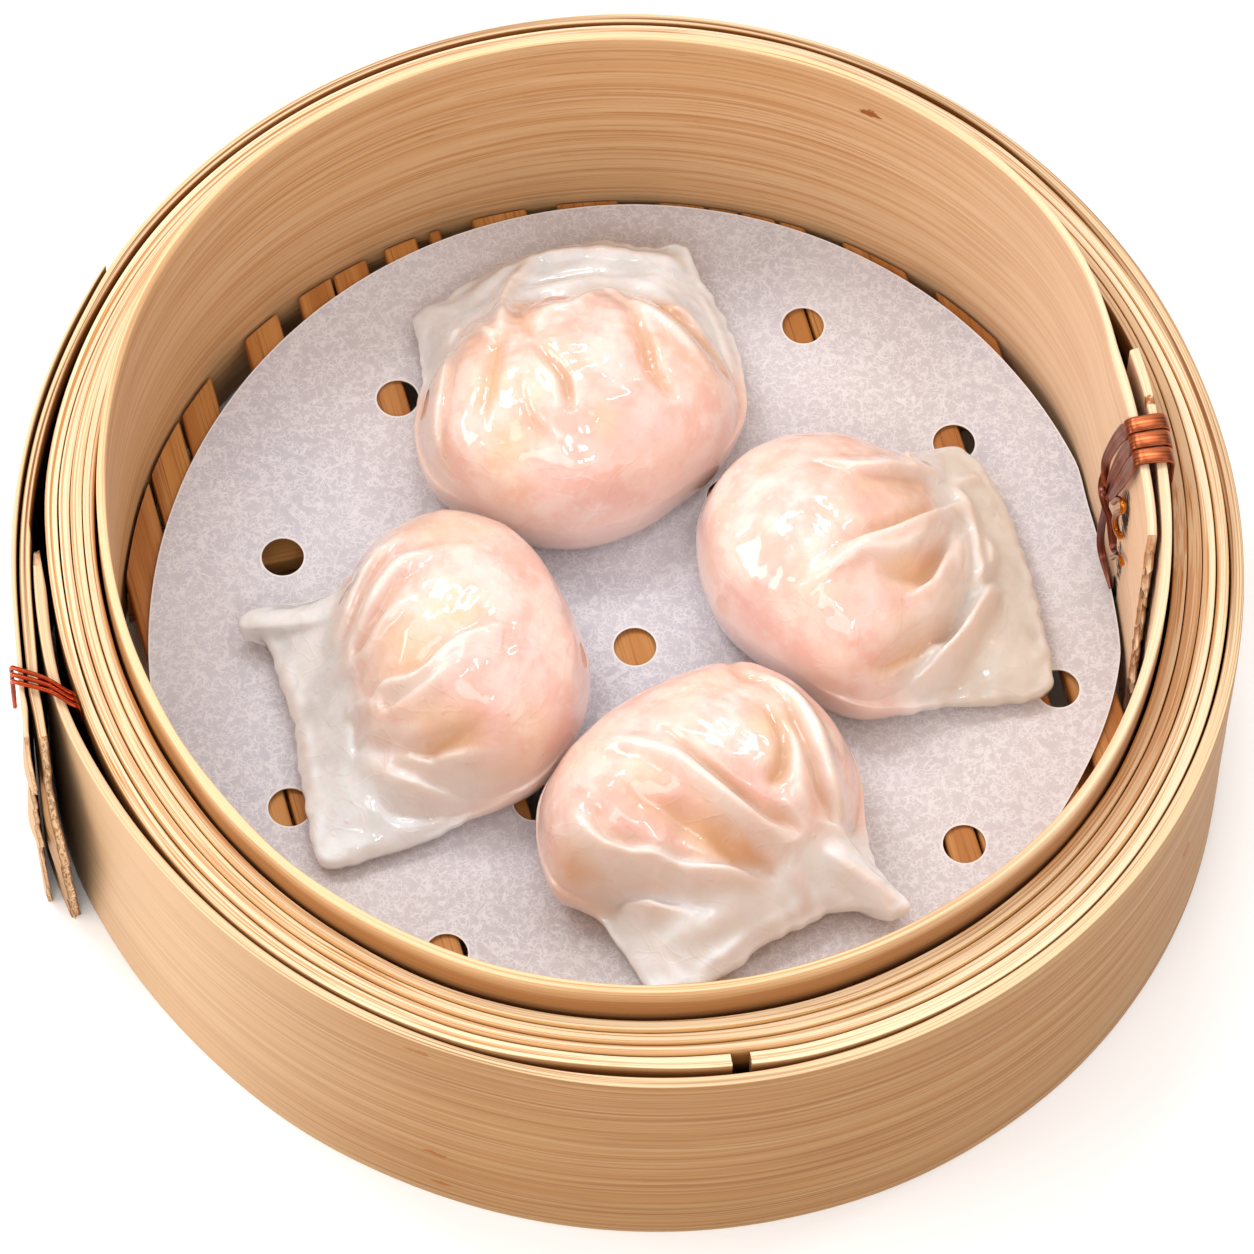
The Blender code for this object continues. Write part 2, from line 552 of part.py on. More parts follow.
def sweep(name, path, section, look, outward=None):
    """Carry a closed section (side, lift) along a path; each path row is x, y, z, scale."""
    path = [np.array(p, float) for p in path]
    places = [p[:3] for p in path]
    points, rows = [], []
    for k, place in enumerate(places):
        run = places[min(k + 1, len(places) - 1)] - places[max(k - 1, 0)]
        run = run / np.linalg.norm(run)
        lift = outward(place) if outward else np.array((0.0, 0.0, 1.0))
        lift = lift - run * float(lift @ run)
        lift = lift / np.linalg.norm(lift)
        across = np.cross(run, lift)
        rows.append(len(points))
        for side, up in section:
            points.append(tuple(place + across * side * path[k][3] + lift * up))
    size = len(section)
    faces = []
    for a, b in zip(rows, rows[1:]):
        faces += [(a + k, a + (k + 1) % size, b + (k + 1) % size, b + k) for k in range(size)]
    faces.append(tuple(rows[0] + k for k in range(size)))
    faces.append(tuple(rows[-1] + k for k in reversed(range(size))))
    return solid(name, points, faces, look)


def round_section(radius, sides=6):
    return [(radius * math.cos(2 * math.pi * k / sides), radius * math.sin(2 * math.pi * k / sides))
            for k in range(sides)]


def lip_core(place):
    angle = math.degrees(math.atan2(place[1], place[0]))
    core = np.array(polar(angle, 67.4, LIP_Z - 2.5))
    core[2] = min(core[2], place[2])
    away = place - core
    return away / np.linalg.norm(away)


def make_straps():
    half, thick = STRAP_WIDTH / 2, STRAP_THICK / 2
    section = [(-half, -thick), (half, -thick), (half, thick), (-half, thick)]
    for number, start in enumerate(STRAP_ANGLES, 1):
        outer = curve(LIP_OUT, start + 360.0) + 0.7
        inner = bore_at(start) - 0.65
        path = [polar(start, outer, 46.8) + (1.0,), polar(start, outer, 51.0) + (1.0,),
                polar(start, outer - 0.15, 52.2) + (1.0,), polar(start, outer - 1.1, 52.75) + (1.0,),
                polar(start, inner + 1.1, 52.75) + (1.0,), polar(start, inner + 0.15, 52.2) + (1.0,),
                polar(start, inner, 51.0) + (1.0,)]
        finish = 18.6 - 0.85 * (number - 1)
        for step in range(1, 7):
            t = step / 6
            angle = start + (finish - start) * t ** 1.25
            path.append(polar(angle, bore_at(angle) - 0.68, 51.0 - 24.0 * t) + (1.0 - 0.72 * t,))
        sweep(f"strap_{number}", path, section, "copper_strap", lip_core)


def inward(place):
    away = -np.array((place[0], place[1], 0.0))
    return away / np.linalg.norm(away)


def make_tail():
    """The strap's twisted tail under the turns, with its two curled ends."""
    for number, phase in enumerate((0.0, math.pi), 1):
        path = []
        for step in range(11):
            t = step / 10
            turn = phase + 2.2 * math.pi * t
            angle = 17.6 - 1.2 * t + 0.55 * math.cos(turn)
            path.append(polar(angle, bore_at(angle) - 1.45 + 0.5 * math.sin(turn), 25.6 - 11.6 * t) + (1.0,))
        sweep(f"tail_{number}", path, round_section(0.42), "copper_strap", inward)
    hook = [(15.6, 29.6), (14.3, 31.8), (12.4, 31.6), (11.6, 29.4), (12.0, 26.6), (13.4, 24.6)]
    sweep("hook_1", [polar(a, bore_at(a) - 1.85, z) + (1.0,) for a, z in hook],
          round_section(0.55), "copper_strap", inward)
    hook = [(14.6, 20.6), (12.6, 21.4), (10.8, 21.0), (9.8, 19.4)]
    sweep("hook_2", [polar(a, bore_at(a) - 0.95, z) + (1.0,) for a, z in hook],
          round_section(0.45), "copper_strap", inward)


def make_strands():
    for number, start in enumerate(STRAND_STARTS, 1):
        outer = curve(SKIN_OUT, start) + 0.75
        path = []
        for t, radius, z in ((0.0, outer, 37.0), (0.0, outer, 42.5), (0.02, outer - 0.1, 44.1),
                             (0.14, outer - 0.8, 44.75), (0.5, 79.0, 45.1), (0.86, 76.9, 44.75),
                             (0.98, 76.02, 44.0), (1.0, 75.96, 41.0)):
            path.append(polar(start + STRAND_SWING * t, radius, z) + (1.0,))
        sweep(f"strand_{number}", path, round_section(STRAND_RADIUS, 5), "copper_wire",
              lambda place: np.array((place[0], place[1], 60.0)) / 90.0)


def main():
    clear_scene()
    make_wrap()
    make_outer_skin()
    make_rings()
    make_lip()
    make_floor()
    make_paper()
    for name, spec in DUMPLINGS.items():
        make_dumpling(name, spec)
    make_straps()
    make_tail()
    make_strands()


main()
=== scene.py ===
"""Four har gow dumplings on perforated paper in a small bamboo steamer basket."""

import math

import bmesh
import bpy
import numpy as np
from mathutils import Matrix, Vector
from mathutils.geometry import delaunay_2d_cdt


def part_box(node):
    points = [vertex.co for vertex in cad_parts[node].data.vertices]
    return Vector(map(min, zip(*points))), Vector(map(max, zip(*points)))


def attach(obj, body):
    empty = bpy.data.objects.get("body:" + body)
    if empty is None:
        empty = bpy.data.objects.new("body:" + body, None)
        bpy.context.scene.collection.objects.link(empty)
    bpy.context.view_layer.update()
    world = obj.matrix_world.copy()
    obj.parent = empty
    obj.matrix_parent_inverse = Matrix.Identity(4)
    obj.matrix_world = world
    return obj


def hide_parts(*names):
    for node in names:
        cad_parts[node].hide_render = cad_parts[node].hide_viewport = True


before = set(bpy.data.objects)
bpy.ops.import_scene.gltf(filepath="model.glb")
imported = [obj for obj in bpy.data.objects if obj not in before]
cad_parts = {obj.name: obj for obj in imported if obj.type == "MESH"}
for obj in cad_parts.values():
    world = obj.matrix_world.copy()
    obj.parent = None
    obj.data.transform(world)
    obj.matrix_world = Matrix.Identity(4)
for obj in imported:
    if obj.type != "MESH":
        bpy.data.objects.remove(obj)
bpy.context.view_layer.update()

MM = 0.001
STUDIO = 0.805
CENTRE = (-1.041, 1.398)

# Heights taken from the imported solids, in millimetres
RIM_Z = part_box("ring_a")[1].z / MM
LIP_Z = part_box("inner_lip")[1].z / MM
SLAT_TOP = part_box("slat_01")[1].z / MM
SLAT_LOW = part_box("slat_01")[0].z / MM
PAPER_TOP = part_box("paper_liner")[1].z / MM
FOOD_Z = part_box("dumpling_back")[0].z / MM

# Hoops: angle in degrees against radius, as they are in the solids
GAP = 0.3
GRAIN_RADIUS = 75.0
STRIP_ACROSS = 4
WRAP_THICK = 1.65
FLAP_THICK = 1.45
SKIN_THICK = 0.75
LIP_THICK = 1.5
RING_RISE = (0.0, 0.5, 1.2, 2.0)
RING_DIP = (0.0, 0.2, 0.9, 1.8)
BUTT_START = 280.4
BUTT_END = 282.3
WRAP_END = 558.0
SPLIT_START = 151.0
LAP_START = -1.3
LAP_END = 382.0
WRAP_OUT = [(181, 78.35), (190, 78.45), (200, 78.7), (210, 78.1), (222, 77.65), (240, 77.7),
            (255, 78.0), (270, 78.7), (285, 79.4), (300, 79.95), (320, 80.35), (340, 80.0),
            (360, 79.15), (378, 78.65), (392, 78.8), (405, 79.4), (420, 80.35), (440, 81.25),
            (455, 81.55), (490, 81.55), (505, 81.35), (510, 81.1), (517, 80.55), (526, 80.3),
            (540, 80.2), (549, 80.35), (554, 80.8), (558, 81.6)]
WRAP_TIP = [(0.0, 182.5), (18.0, 181.4), (30.0, 182.0), (39.0, 181.0), (43.0, 182.6), (44.0, 184.5)]
FLAP_EDGE = [(0.0, 205.4, 81.6), (4.0, 205.7, 81.9), (10.0, 206.8, 82.4), (17.0, 207.6, 83.1),
             (24.5, 207.4, 83.3), (28.0, 206.9, 83.35), (35.0, 204.6, 83.0), (39.5, 202.8, 82.6),
             (44.0, 202.5, 82.65)]
SKIN_OUT = [(151, 81.6), (157, 81.45), (165, 81.35), (176, 81.25), (186, 81.25), (190, 81.4),
            (194, 81.9), (198, 82.75)]
SKIN_EDGE = [(0.0, 203.0, 83.6), (8.0, 203.4, 83.9), (17.5, 203.0, 84.2), (22.0, 205.3, 84.75),
             (29.0, 203.6, 84.4), (33.0, 202.3, 84.2), (35.5, 204.9, 84.6), (40.0, 204.4, 84.45),
             (41.5, 202.3, 84.1), (44.0, 201.9, 84.05)]
RING_OUT = [(0, 77.1), (15, 76.9), (30, 76.85), (45, 77.3), (60, 78.3), (75, 79.25), (90, 79.55),
            (110, 79.6), (130, 79.55), (145, 79.2), (160, 78.4), (175, 77.5), (183, 76.6),
            (190, 75.95), (200, 75.5), (210, 75.45), (222, 75.6), (240, 75.7), (255, 75.9),
            (265, 75.85), (272, 76.0), (281, 76.6), (288, 77.2), (300, 77.8), (320, 78.3),
            (340, 77.8), (350, 77.4)]
RING_WIDTH = [(0, 1.6), (60, 1.6), (130, 1.6), (180, 1.7), (200, 1.5), (222, 1.8), (240, 1.8),
              (270, 1.65), (281, 1.8), (300, 2.0), (330, 1.9)]
LIP_OUT = [(-1.3, 67.35), (7, 66.95), (15, 67.0), (22, 67.6), (27, 68.8), (33, 70.2), (40, 71.35),
           (48, 72.2), (60, 72.8), (75, 73.15), (90, 73.3), (107, 73.6), (121, 73.8), (136, 73.9),
           (147, 73.5), (159, 72.5), (170, 71.1), (180, 70.0), (189, 69.3), (197, 68.9), (208, 68.5),
           (220, 68.5), (237, 68.95), (255, 69.7), (270, 70.0), (287, 70.2), (305, 70.4), (322, 70.5),
           (333, 70.2), (345, 69.6), (360, 69.2), (367, 69.2), (374, 69.6), (382, 70.2)]
RING_BORE = [(0, 70.0), (8, 70.3), (15, 70.9), (22, 71.5), (30, 72.0), (40, 72.3), (52, 72.6),
             (90, 72.0), (180, 69.0), (270, 69.0), (340, 69.4)]

# Floor
SLAT_TILT = 16.5
RAIL_WIDTH = 9.0
RAIL_OFFSET = 33.0
WALL_GAP = 0.45
BAR_ROWS = 48
BAR_EDGE = 0.45
BAR_REACH = 64.0
SLATS = [(-62.6, -56.2), (-55.6, -50.0), (-49.5, -44.2), (-38.4, -33.0), (-29.6, -24.6),
         (-24.2, -19.2), (-16.4, -11.7), (-9.8, -8.2), (-3.6, 4.1), (8.3, 16.7), (22.0, 28.0),
         (28.4, 32.2), (32.6, 36.8), (37.2, 40.4), (44.7, 52.0), (54.9, 61.0)]
PAPER_SIZE = (65.0, 67.3)
PAPER_CENTRE = (0.2, 3.2)
PAPER_MESH = 1.8
PAPER_RIM = 0.35
HOLE_RIM = 0.4
SHEET_TOP = 0.05
SHEET_FOOT = 0.25
HOLE_RADIUS = 2.85
HOLES = [(0.2, 1.2), (22.0, 51.8), (-32.9, 38.6), (42.7, 34.0), (-47.4, 13.6), (56.7, -3.5),
         (44.3, -27.0), (-23.4, -45.1), (-44.8, -24.3), (11.5, -50.6), (-6.4, 50.2), (-12.5, -22.4),
         (13.5, -21.8), (25.4, 1.8), (12.2, 24.6), (-12.9, 24.2), (-25.0, 0.6)]


# Dumplings, in millimetres: the edge runs round as (x, y, edge height, share of belly), and a fold is
# (width on its left, width on its right, [(x, y, rise), ...]); swells, warm and rose are (x, y, size, much)
DUMPLINGS = {
    "dumpling_back": {
        "middle": (-8, 31), "height": 24,
        "edge": [(-31, 50, 2, 0.74), (-27, 52.7, 3, 0.7), (-20.3, 57.2, 4, 0.66), (-14.2, 59.5, 4.5, 0.62),
                 (-6, 61.2, 5, 0.6), (0.8, 60.2, 5, 0.62), (5.4, 60.9, 5, 0.62), (7.4, 56.7, 5, 0.68),
                 (10, 52, 5, 0.76), (12.6, 46, 5, 0.84), (14.1, 38.6, 6, 0.95), (14.2, 32.5, 8, 1),
                 (11.4, 26, 9, 1), (6.3, 20.7, 9, 1), (0.3, 16.1, 9, 1), (-7.5, 13.4, 9, 1),
                 (-15.5, 13.9, 9, 1), (-22.7, 17.2, 9, 1), (-27.8, 21, 9, 1), (-30, 27.3, 8, 1),
                 (-30.1, 33.9, 6, 0.97), (-29.6, 39.6, 3, 0.88), (-30.4, 45.4, 2, 0.78)],
        "folds": [
            # neck valley
            (1.6, 1.3, [(-19, 37, 0), (-14, 47, -1.8), (-10, 48, -2), (-6, 51, -1.7), (-1, 49.5, -1.8),
                (4, 44.5, -2.1), (8.5, 39.5, -1.8), (11.5, 35.5, -1.3), (14, 35, 0)]),
            # belly top edge
            (1.5, 1, [(-15, 37, 0), (-12.5, 40.5, 0.8), (-9, 41.5, 1), (-5, 46.5, 1.3), (-1.5, 43.5, 1),
                (3, 40.5, 1), (7, 36.5, 0.8), (10.5, 32.5, 0)]),
            # collar roll
            (1.6, 1.4, [(-24, 50.5, 0), (-20.5, 54.5, 0.8), (-15.5, 57.5, 1.5), (-10, 58.5, 1.7),
                (0, 58, 1), (3.5, 57, 0.7), (6, 56.5, 0)]),
            # collar valley
            (1, 1, [(-18, 52, 0), (-14.5, 52, -1), (-7, 54, -1), (-1, 52.5, 0)]),
            # left pleat
            (1.2, 1.3, [(-19, 35, 0), (-19, 38.5, 1.3), (-19, 46.5, 2.2), (-18, 51.5, 2.2), (-16, 55, 1.3),
                (-14, 57, 0)]),
            # left pleat crease
            (0.6, 0.9, [(-17.5, 47.5, 0), (-16, 40.5, -0.8), (-15, 37, -1), (-14.5, 35, 0)]),
            # triangle facet
            (1.4, 0.7, [(-24.5, 48, 0), (-22.5, 41.5, 1.1), (-20.5, 37, 1.3), (-19, 35.5, 0)]),
            # left lobe valley
            (0.8, 1.6, [(-18.5, 39, 0), (-19, 35.5, -1.3), (-20, 28, -1.3), (-21, 22, 0)]),
            # outer skin edge
            (0.6, 2.2, [(-24, 44.5, 0), (-26, 42, 1), (-26.5, 32.5, 1.1), (-27, 27, 1), (-27, 23, 0.8),
                (-25, 19, 0.7), (-23, 17, 0)]),
            # left outer valley
            (0.8, 0.8, [(-24.5, 38, 0), (-25.5, 33, -0.6), (-26.5, 24, -0.8), (-25.5, 20.5, -0.7),
                (-23.5, 18.5, 0)]),
            # centre groove
            (0.8, 0.9, [(-15, 35.5, 0), (-10.5, 29, -1.5), (-9.5, 26, -1.4), (-9, 23.5, 0)]),
            # centre left roll
            (1.4, 1, [(-16, 34, 0), (-12, 28, 1), (-10, 23, 0)]),
            # small groove left
            (0.7, 0.9, [(-16.5, 30.5, 0), (-15, 24, -0.7), (-13, 21.5, -0.7), (-11, 20, 0)]),
            # right groove
            (1, 1.2, [(-3.5, 48.5, 0), (0.5, 35.5, -1.5), (1.5, 31.5, -1.5), (3.5, 29, -1.1),
                (5, 27.5, 0)]),
            # bottom lip
            (0.7, 1.6, [(-24.5, 18, 0), (-20.5, 15.5, 0.7), (-15.5, 13.5, 0.8), (-8, 12.5, 0.8),
                (2, 16, 0.7), (7.5, 22.5, 0.4), (11, 26, 0)]),
            # right flange roll
            (1, 1, [(7, 53.5, 0), (9.5, 49.5, 0.7), (12.5, 41.5, 0.6), (14, 38, 0)]),
        ],
        "swells": [(-23.5, 25.5, 5, 0.6), (6, 33.5, 5.5, 0.5), (-13, 26, 4.5, 0.4), (-3, 23.5, 6, 0.3)],
        "warm": [(-17.5, 20, 3.5, 0.9), (-19.5, 28.5, 3, 0.8), (-13.5, 28, 3.5, 0.6), (-9, 31, 3, 0.4),
                 (-4.5, 23, 2, 0.7), (-17, 16, 3.5, 0.5), (-15, 57.5, 0.5, 0.9), (5.5, 44.5, 1.5, 0.4)],
        "rose": [(-3.5, 22, 5, 0.8), (-8.5, 18, 4, 0.5), (0, 29.5, 4, 0.5), (3.5, 22, 4.5, 0.4)],
    },
    "dumpling_right": {
        "middle": (24, 8.5), "height": 23,
        "edge": [(24.3, 28, 9, 1), (29.5, 27.8, 8, 1), (35, 28, 6, 0.92), (39.8, 29.6, 5, 0.8),
                 (43, 30.3, 5, 0.72), (46.5, 27.6, 4, 0.68), (49.3, 22.5, 3.5, 0.66), (51.6, 16.4, 3, 0.66),
                 (53.8, 8.1, 3, 0.64), (55.4, 0.5, 3, 0.62), (56, -3.7, 2.5, 0.62), (54.1, -6, 2, 0.64),
                 (48.9, -7.2, 2, 0.7), (42.2, -8.2, 3, 0.8), (36.1, -10.2, 6, 0.95), (31, -11.4, 8, 1),
                 (26.2, -10.2, 9, 1), (20.9, -6.6, 9, 1), (15.9, -2.9, 9, 1), (11.7, 1.2, 9, 1),
                 (9.1, 6.2, 9, 1), (8, 12, 9, 1), (8.6, 17.4, 9, 1), (11.6, 22.6, 9, 1), (17, 26.5, 9, 1)],
        "folds": [
            # ridge top flange
            (1.6, 0.8, [(24, 19.5, 0), (27.5, 17.5, 0.8), (30.5, 17.5, 1.6), (34.5, 19.5, 2), (39, 22, 1.3),
                (41, 22, 0)]),
            # under top flange
            (0.6, 2.6, [(26.5, 16.5, 0), (30, 16.5, -0.7), (34, 17.5, -1), (37.5, 19.5, -0.9),
                (41, 20, 0)]),
            # first pleat, top edge
            (0.6, 1.5, [(24, 1, 0), (27, 4, 0.6), (34, 8, 1.9), (38, 12.5, 2.2), (42, 17.5, 1.3),
                (44, 19, 0)]),
            # first pleat
            (1.4, 0.9, [(20.5, -1.5, 0), (27, 2, 1.1), (30, 4, 1.3), (34, 5, 1.6), (37.5, 8, 1.8),
                (40.5, 13.5, 1.3), (43, 17, 0)]),
            # crease above the first pleat
            (1.6, 0.5, [(26.5, 5, 0), (33.5, 8.5, -1.3), (38, 13, -1.4), (41.5, 18.5, -0.8),
                (43.5, 20, 0)]),
            # hollow beside the first pleat
            (1, 1.3, [(31.5, 1.5, 0), (37, 3.5, -2), (39, 6.5, -2.2), (41, 11, -1.6), (42.5, 15.5, 0)]),
            # second pleat, top edge
            (0.6, 1.6, [(35.5, -1, 0), (37.5, 1, 1.1), (39.5, 3.5, 1.6), (41, 8, 1.8), (42, 12.5, 1.1),
                (43, 16, 0)]),
            # second pleat
            (2, 1, [(31, -7.5, 0), (35, -4.5, 0.8), (41, 1.5, 2), (43, 7, 2.2), (43.5, 11, 1.6),
                (43, 14, 0)]),
            # valley beside the second pleat
            (0.7, 0.9, [(30.5, -9, 0), (33.5, -7.5, -1.4), (37.5, -4, -2.4), (41, -1, -2.5), (43, 3, -2.1),
                (46, 9.5, 0)]),
            # third pleat
            (0.7, 1.1, [(34.5, -9.5, 0), (38, -7, 1.6), (41, -4.5, 2.5), (43, -2, 2.9), (45, 1.5, 2.6),
                (47, 6, 1.9), (48.5, 8.5, 0)]),
            # valley beside the third pleat
            (1, 2, [(38, -8.5, 0), (41.5, -6.5, -0.9), (44.5, -3.5, -1.2), (48.5, 4.5, -0.7),
                (49.5, 7, 0)]),
            # neck roll
            (0.8, 1.6, [(42, 22.5, 0), (44, 20, 1.6), (45, 16.5, 1.3), (45.5, 13, 1.5), (46, 9, 1.4),
                (45.5, 6, 0)]),
            # neck dimple
            (0.7, 0.7, [(42, 16, 0), (44, 16, -0.8), (44.5, 13, -1.1), (44.5, 10, -0.9), (44.5, 7, 0)]),
            # neck bumps
            (0.7, 0.8, [(42, 22, 0), (43.5, 23.5, 0.8), (45.5, 25, 0.7), (46, 25.5, 0)]),
            # second neck fold
            (0.8, 0.8, [(46, 15.5, 0), (47.5, 13.5, 1), (47, 10, 1), (45, 7, 0.8), (44.5, 5, 0)]),
            # edge roll
            (1.2, 1.2, [(46.5, 26.5, 0), (49.5, 25.5, 0.7), (51.5, 19.5, 0.6), (52.5, 15, 0.4),
                (53.5, 11.5, 0)]),
            # orange mark
            (0.5, 0.6, [(21, 17.5, 0), (23.5, 18, -0.3), (26, 17, -0.4), (28.5, 17, 0)]),
        ],
        "swells": [(19, 3, 8, 0.4), (31, -2, 5, 0.3)],
        "warm": [(35.5, 4, 3, 0.9), (37, -4.5, 3, 0.9), (24, -0.5, 4, 0.4), (14, 5.5, 4, 0.2),
                 (24.5, -10, 4, 0.4), (41.5, 0, 2, 0.5)],
        "rose": [(30.5, 12, 3, 1), (28.5, 13.5, 3, 0.6), (24, 17.5, 3, 0.7), (27, -3.5, 5, 0.6),
                 (16, -0.5, 4.5, 0.5), (29, 2, 4, 0.5), (33, -1, 3, 0.5)],
    },
    "dumpling_left": {
        "middle": (-22, -5), "height": 24,
        "edge": [(-24.3, 14.7, 9, 1), (-30, 13.2, 9, 1), (-35, 9.6, 9, 1), (-38, 7, 7, 1),
                 (-40, 5.8, 4, 0.9), (-44.6, 4.7, 3, 0.78), (-49.1, 3.7, 3, 0.66), (-52, 2.4, 4, 0.62),
                 (-52.4, 0.1, 4, 0.62), (-49.2, -1, 3, 0.66), (-47.3, -6.3, 3, 0.68), (-45, -12.7, 3, 0.7),
                 (-43.9, -19, 3, 0.7), (-42.7, -25.4, 2.5, 0.7), (-41.3, -32, 2.5, 0.66),
                 (-39, -34.2, 2, 0.64), (-33.2, -32.4, 2, 0.7), (-26.7, -30, 2, 0.8),
                 (-21.2, -27.2, 3, 0.9), (-16.6, -25.8, 6, 1), (-11.9, -23.4, 8, 1), (-8.2, -18.6, 9, 1),
                 (-6, -13.4, 9, 1), (-5.7, -6.8, 9, 1), (-8, 0.3, 9, 1), (-12.2, 7.7, 9, 1),
                 (-17.5, 12.3, 9, 1)],
        "folds": [
            # first ridge
            (1.2, 1.3, [(-30.5, 7.5, 0), (-33, 5, 0.9), (-35, 3.5, 1.6), (-36.5, 0.5, 1.9),
                (-38, -2.5, 1.8), (-39, -5, 1.4), (-39.5, -7.5, 0)]),
            # groove beside the first ridge
            (0.7, 0.8, [(-30.5, 5, 0), (-35, 0.5, -1), (-37.5, -5, -0.9), (-38.5, -7.5, 0)]),
            # second ridge
            (1.3, 1.2, [(-25, 2.5, 0), (-31, 0.5, 1.7), (-34.5, -3.5, 2.1), (-38.5, -9.5, 1.3),
                (-40, -11, 0)]),
            # groove beside the second ridge
            (0.8, 0.9, [(-28, -1, 0), (-31, -2, -0.7), (-32.5, -4, -1), (-34, -6.5, -1.2),
                (-36.5, -9.5, -0.7), (-37.5, -10.5, 0)]),
            # third ridge
            (1, 1.1, [(-28.5, -4, 0), (-33, -7, 1.2), (-34.5, -9, 1), (-35.5, -10, 1.2), (-37, -10.5, 1),
                (-38.5, -11.5, 0)]),
            # neck ridge
            (1, 1, [(-36.5, -16.5, 0), (-34, -17.5, 0.9), (-29.5, -19, 0.7), (-27, -18.5, 0)]),
            # neck crease
            (0.7, 0.7, [(-37, -16, 0), (-36, -18, -0.9), (-36, -20, -0.9), (-35, -21, 0)]),
            # second neck ridge
            (1.1, 1, [(-36, -20, 0), (-34, -19.5, 1), (-29, -21, 0.9), (-26, -21.5, 0)]),
            # fourth ridge
            (1, 1.1, [(-33, -22.5, 0), (-30, -23, 1.2), (-27.5, -23.5, 1.6), (-25, -23.5, 1.6),
                (-21.5, -23.5, 1), (-17.5, -23.5, 0.4), (-15, -22.5, 0)]),
            # groove beside the fourth ridge
            (0.9, 0.8, [(-33, -23, 0), (-27, -24.5, -1.7), (-19.5, -24.5, -1.6), (-15.5, -24, -1),
                (-12, -22, 0)]),
            # fifth ridge
            (1.8, 1.4, [(-36, -21, 0), (-33, -23.5, 1.2), (-29.5, -25, 1.7), (-26, -26, 1.9),
                (-22, -25.5, 1.9), (-14.5, -25.5, 1), (-11, -23.5, 0)]),
            # groove beside the fifth ridge
            (1, 0.8, [(-34, -25.5, 0), (-31.5, -27.5, -0.7), (-28, -27.5, -1.3), (-24, -27, -1.4),
                (-21, -26.5, -1), (-18.5, -26.5, 0)]),
            # flange edge roll
            (1.1, 1, [(-48, -3, 0), (-46, -8, 0.7), (-43.5, -16.5, 0.7), (-41.5, -27.5, 0.4),
                (-41, -31.5, 0)]),
            # bottom rim
            (1, 1, [(-39, -33.5, 0), (-34, -32, 0.5), (-28, -30, 0.5), (-23, -27.5, 0)]),
            # upper lobe, lip
            (2.6, 0.7, [(-16, -9.5, 0), (-18, -9.5, 0.9), (-24, -12.5, 1.9), (-26.5, -14.5, 2.4),
                (-29.5, -15.5, 2.4), (-32.5, -15.5, 2), (-34, -16.5, 1.3), (-36.5, -16, 0.7),
                (-37.5, -16.5, 0)]),
            # upper lobe, crease
            (0.7, 2.4, [(-22, -12.5, 0), (-25, -14.5, -1), (-27.5, -16, -2), (-30.5, -17, -2.2),
                (-32, -17.5, -1.6), (-34, -18, 0)]),
            # lower lobe, crease
            (2, 0.8, [(-18.5, -20.5, 0), (-24.5, -22, -1.8), (-27, -22.5, -2), (-31.5, -22.5, 0)]),
        ],
        "swells": [(-25, -7, 4.5, 0.5), (-17, -17.5, 7, 0.4)],
        "warm": [(-23.5, -7, 4, 0.9), (-28, -12.5, 4, 0.7), (-30.5, -9, 3, 0.6), (-26, -14.5, 1.5, 0.8),
                 (-23, -21.5, 3, 0.8), (-10.5, -21.5, 3.5, 0.5), (-25, 5, 4.5, 0.4),
                 (-26.5, -19, 2.5, 0.5)],
        "rose": [(-19.5, -19.5, 4.5, 0.7), (-30.5, -16.5, 2, 0.7), (-16, -15, 4.5, 0.4),
                 (-10, -19, 3.5, 0.4)],
    },
    "dumpling_front": {
        "middle": (9, -25), "height": 23,
        "edge": [(14.1, -7, 9, 1), (20, -8.7, 9, 1), (25.2, -13.2, 9, 1), (28.6, -17.7, 9, 1),
                 (30.4, -22.4, 8, 1), (31, -27.4, 6, 0.97), (31.9, -31.3, 4, 0.88),
                 (34.4, -35.4, 3.5, 0.74), (36.9, -38.3, 4, 0.66), (35.4, -40.2, 4, 0.66),
                 (30.8, -38.9, 4, 0.7), (26.6, -39.6, 4, 0.74), (22.7, -42, 4, 0.76),
                 (18.2, -44.3, 4, 0.74), (15, -47.5, 4, 0.7), (11.1, -49.9, 3, 0.66),
                 (7.3, -52.2, 2.5, 0.62), (4, -51.6, 2, 0.62), (0.7, -47.1, 2, 0.7), (-2.9, -42, 3, 0.9),
                 (-5.9, -40.6, 6, 1), (-9.5, -39.3, 8, 1), (-11.3, -35.6, 9, 1), (-12.1, -31.4, 9, 1),
                 (-11.6, -26.3, 9, 1), (-8.6, -20.8, 9, 1), (-3, -15, 9, 1), (5, -10, 9, 1)],
        "folds": [
            # first ridge
            (1.2, 1.5, [(16.5, -12, 0), (20, -14.5, 1.2), (22.5, -17.5, 1.9), (24.5, -21.5, 2.4),
                (27, -28, 2.2), (27.5, -30, 1.8), (27.5, -33, 0)]),
            # groove beside the first ridge
            (0.9, 0.9, [(18, -14, 0), (20, -16.5, -1.2), (21.5, -20.5, -1.6), (24.5, -28, -1.6),
                (26, -30, -1.4), (27, -32.5, 0)]),
            # top crease
            (0.9, 1.2, [(6.5, -2.5, 0), (10.5, -2, -0.5), (14, -12.5, -0.9), (17.5, -14, -0.9),
                (19.5, -17, 0)]),
            # yellow groove
            (1.4, 0.8, [(16, -18, 0), (18, -20, -1.1), (19.5, -23, -1.9), (19.5, -26.5, -2.2),
                (18.5, -28.5, -1.8), (18, -30.5, 0)]),
            # mid ridge
            (1.6, 1.6, [(20, -20, 0), (21.5, -24, 1.1), (22.5, -30.5, 1.4), (24, -33.5, 0.9),
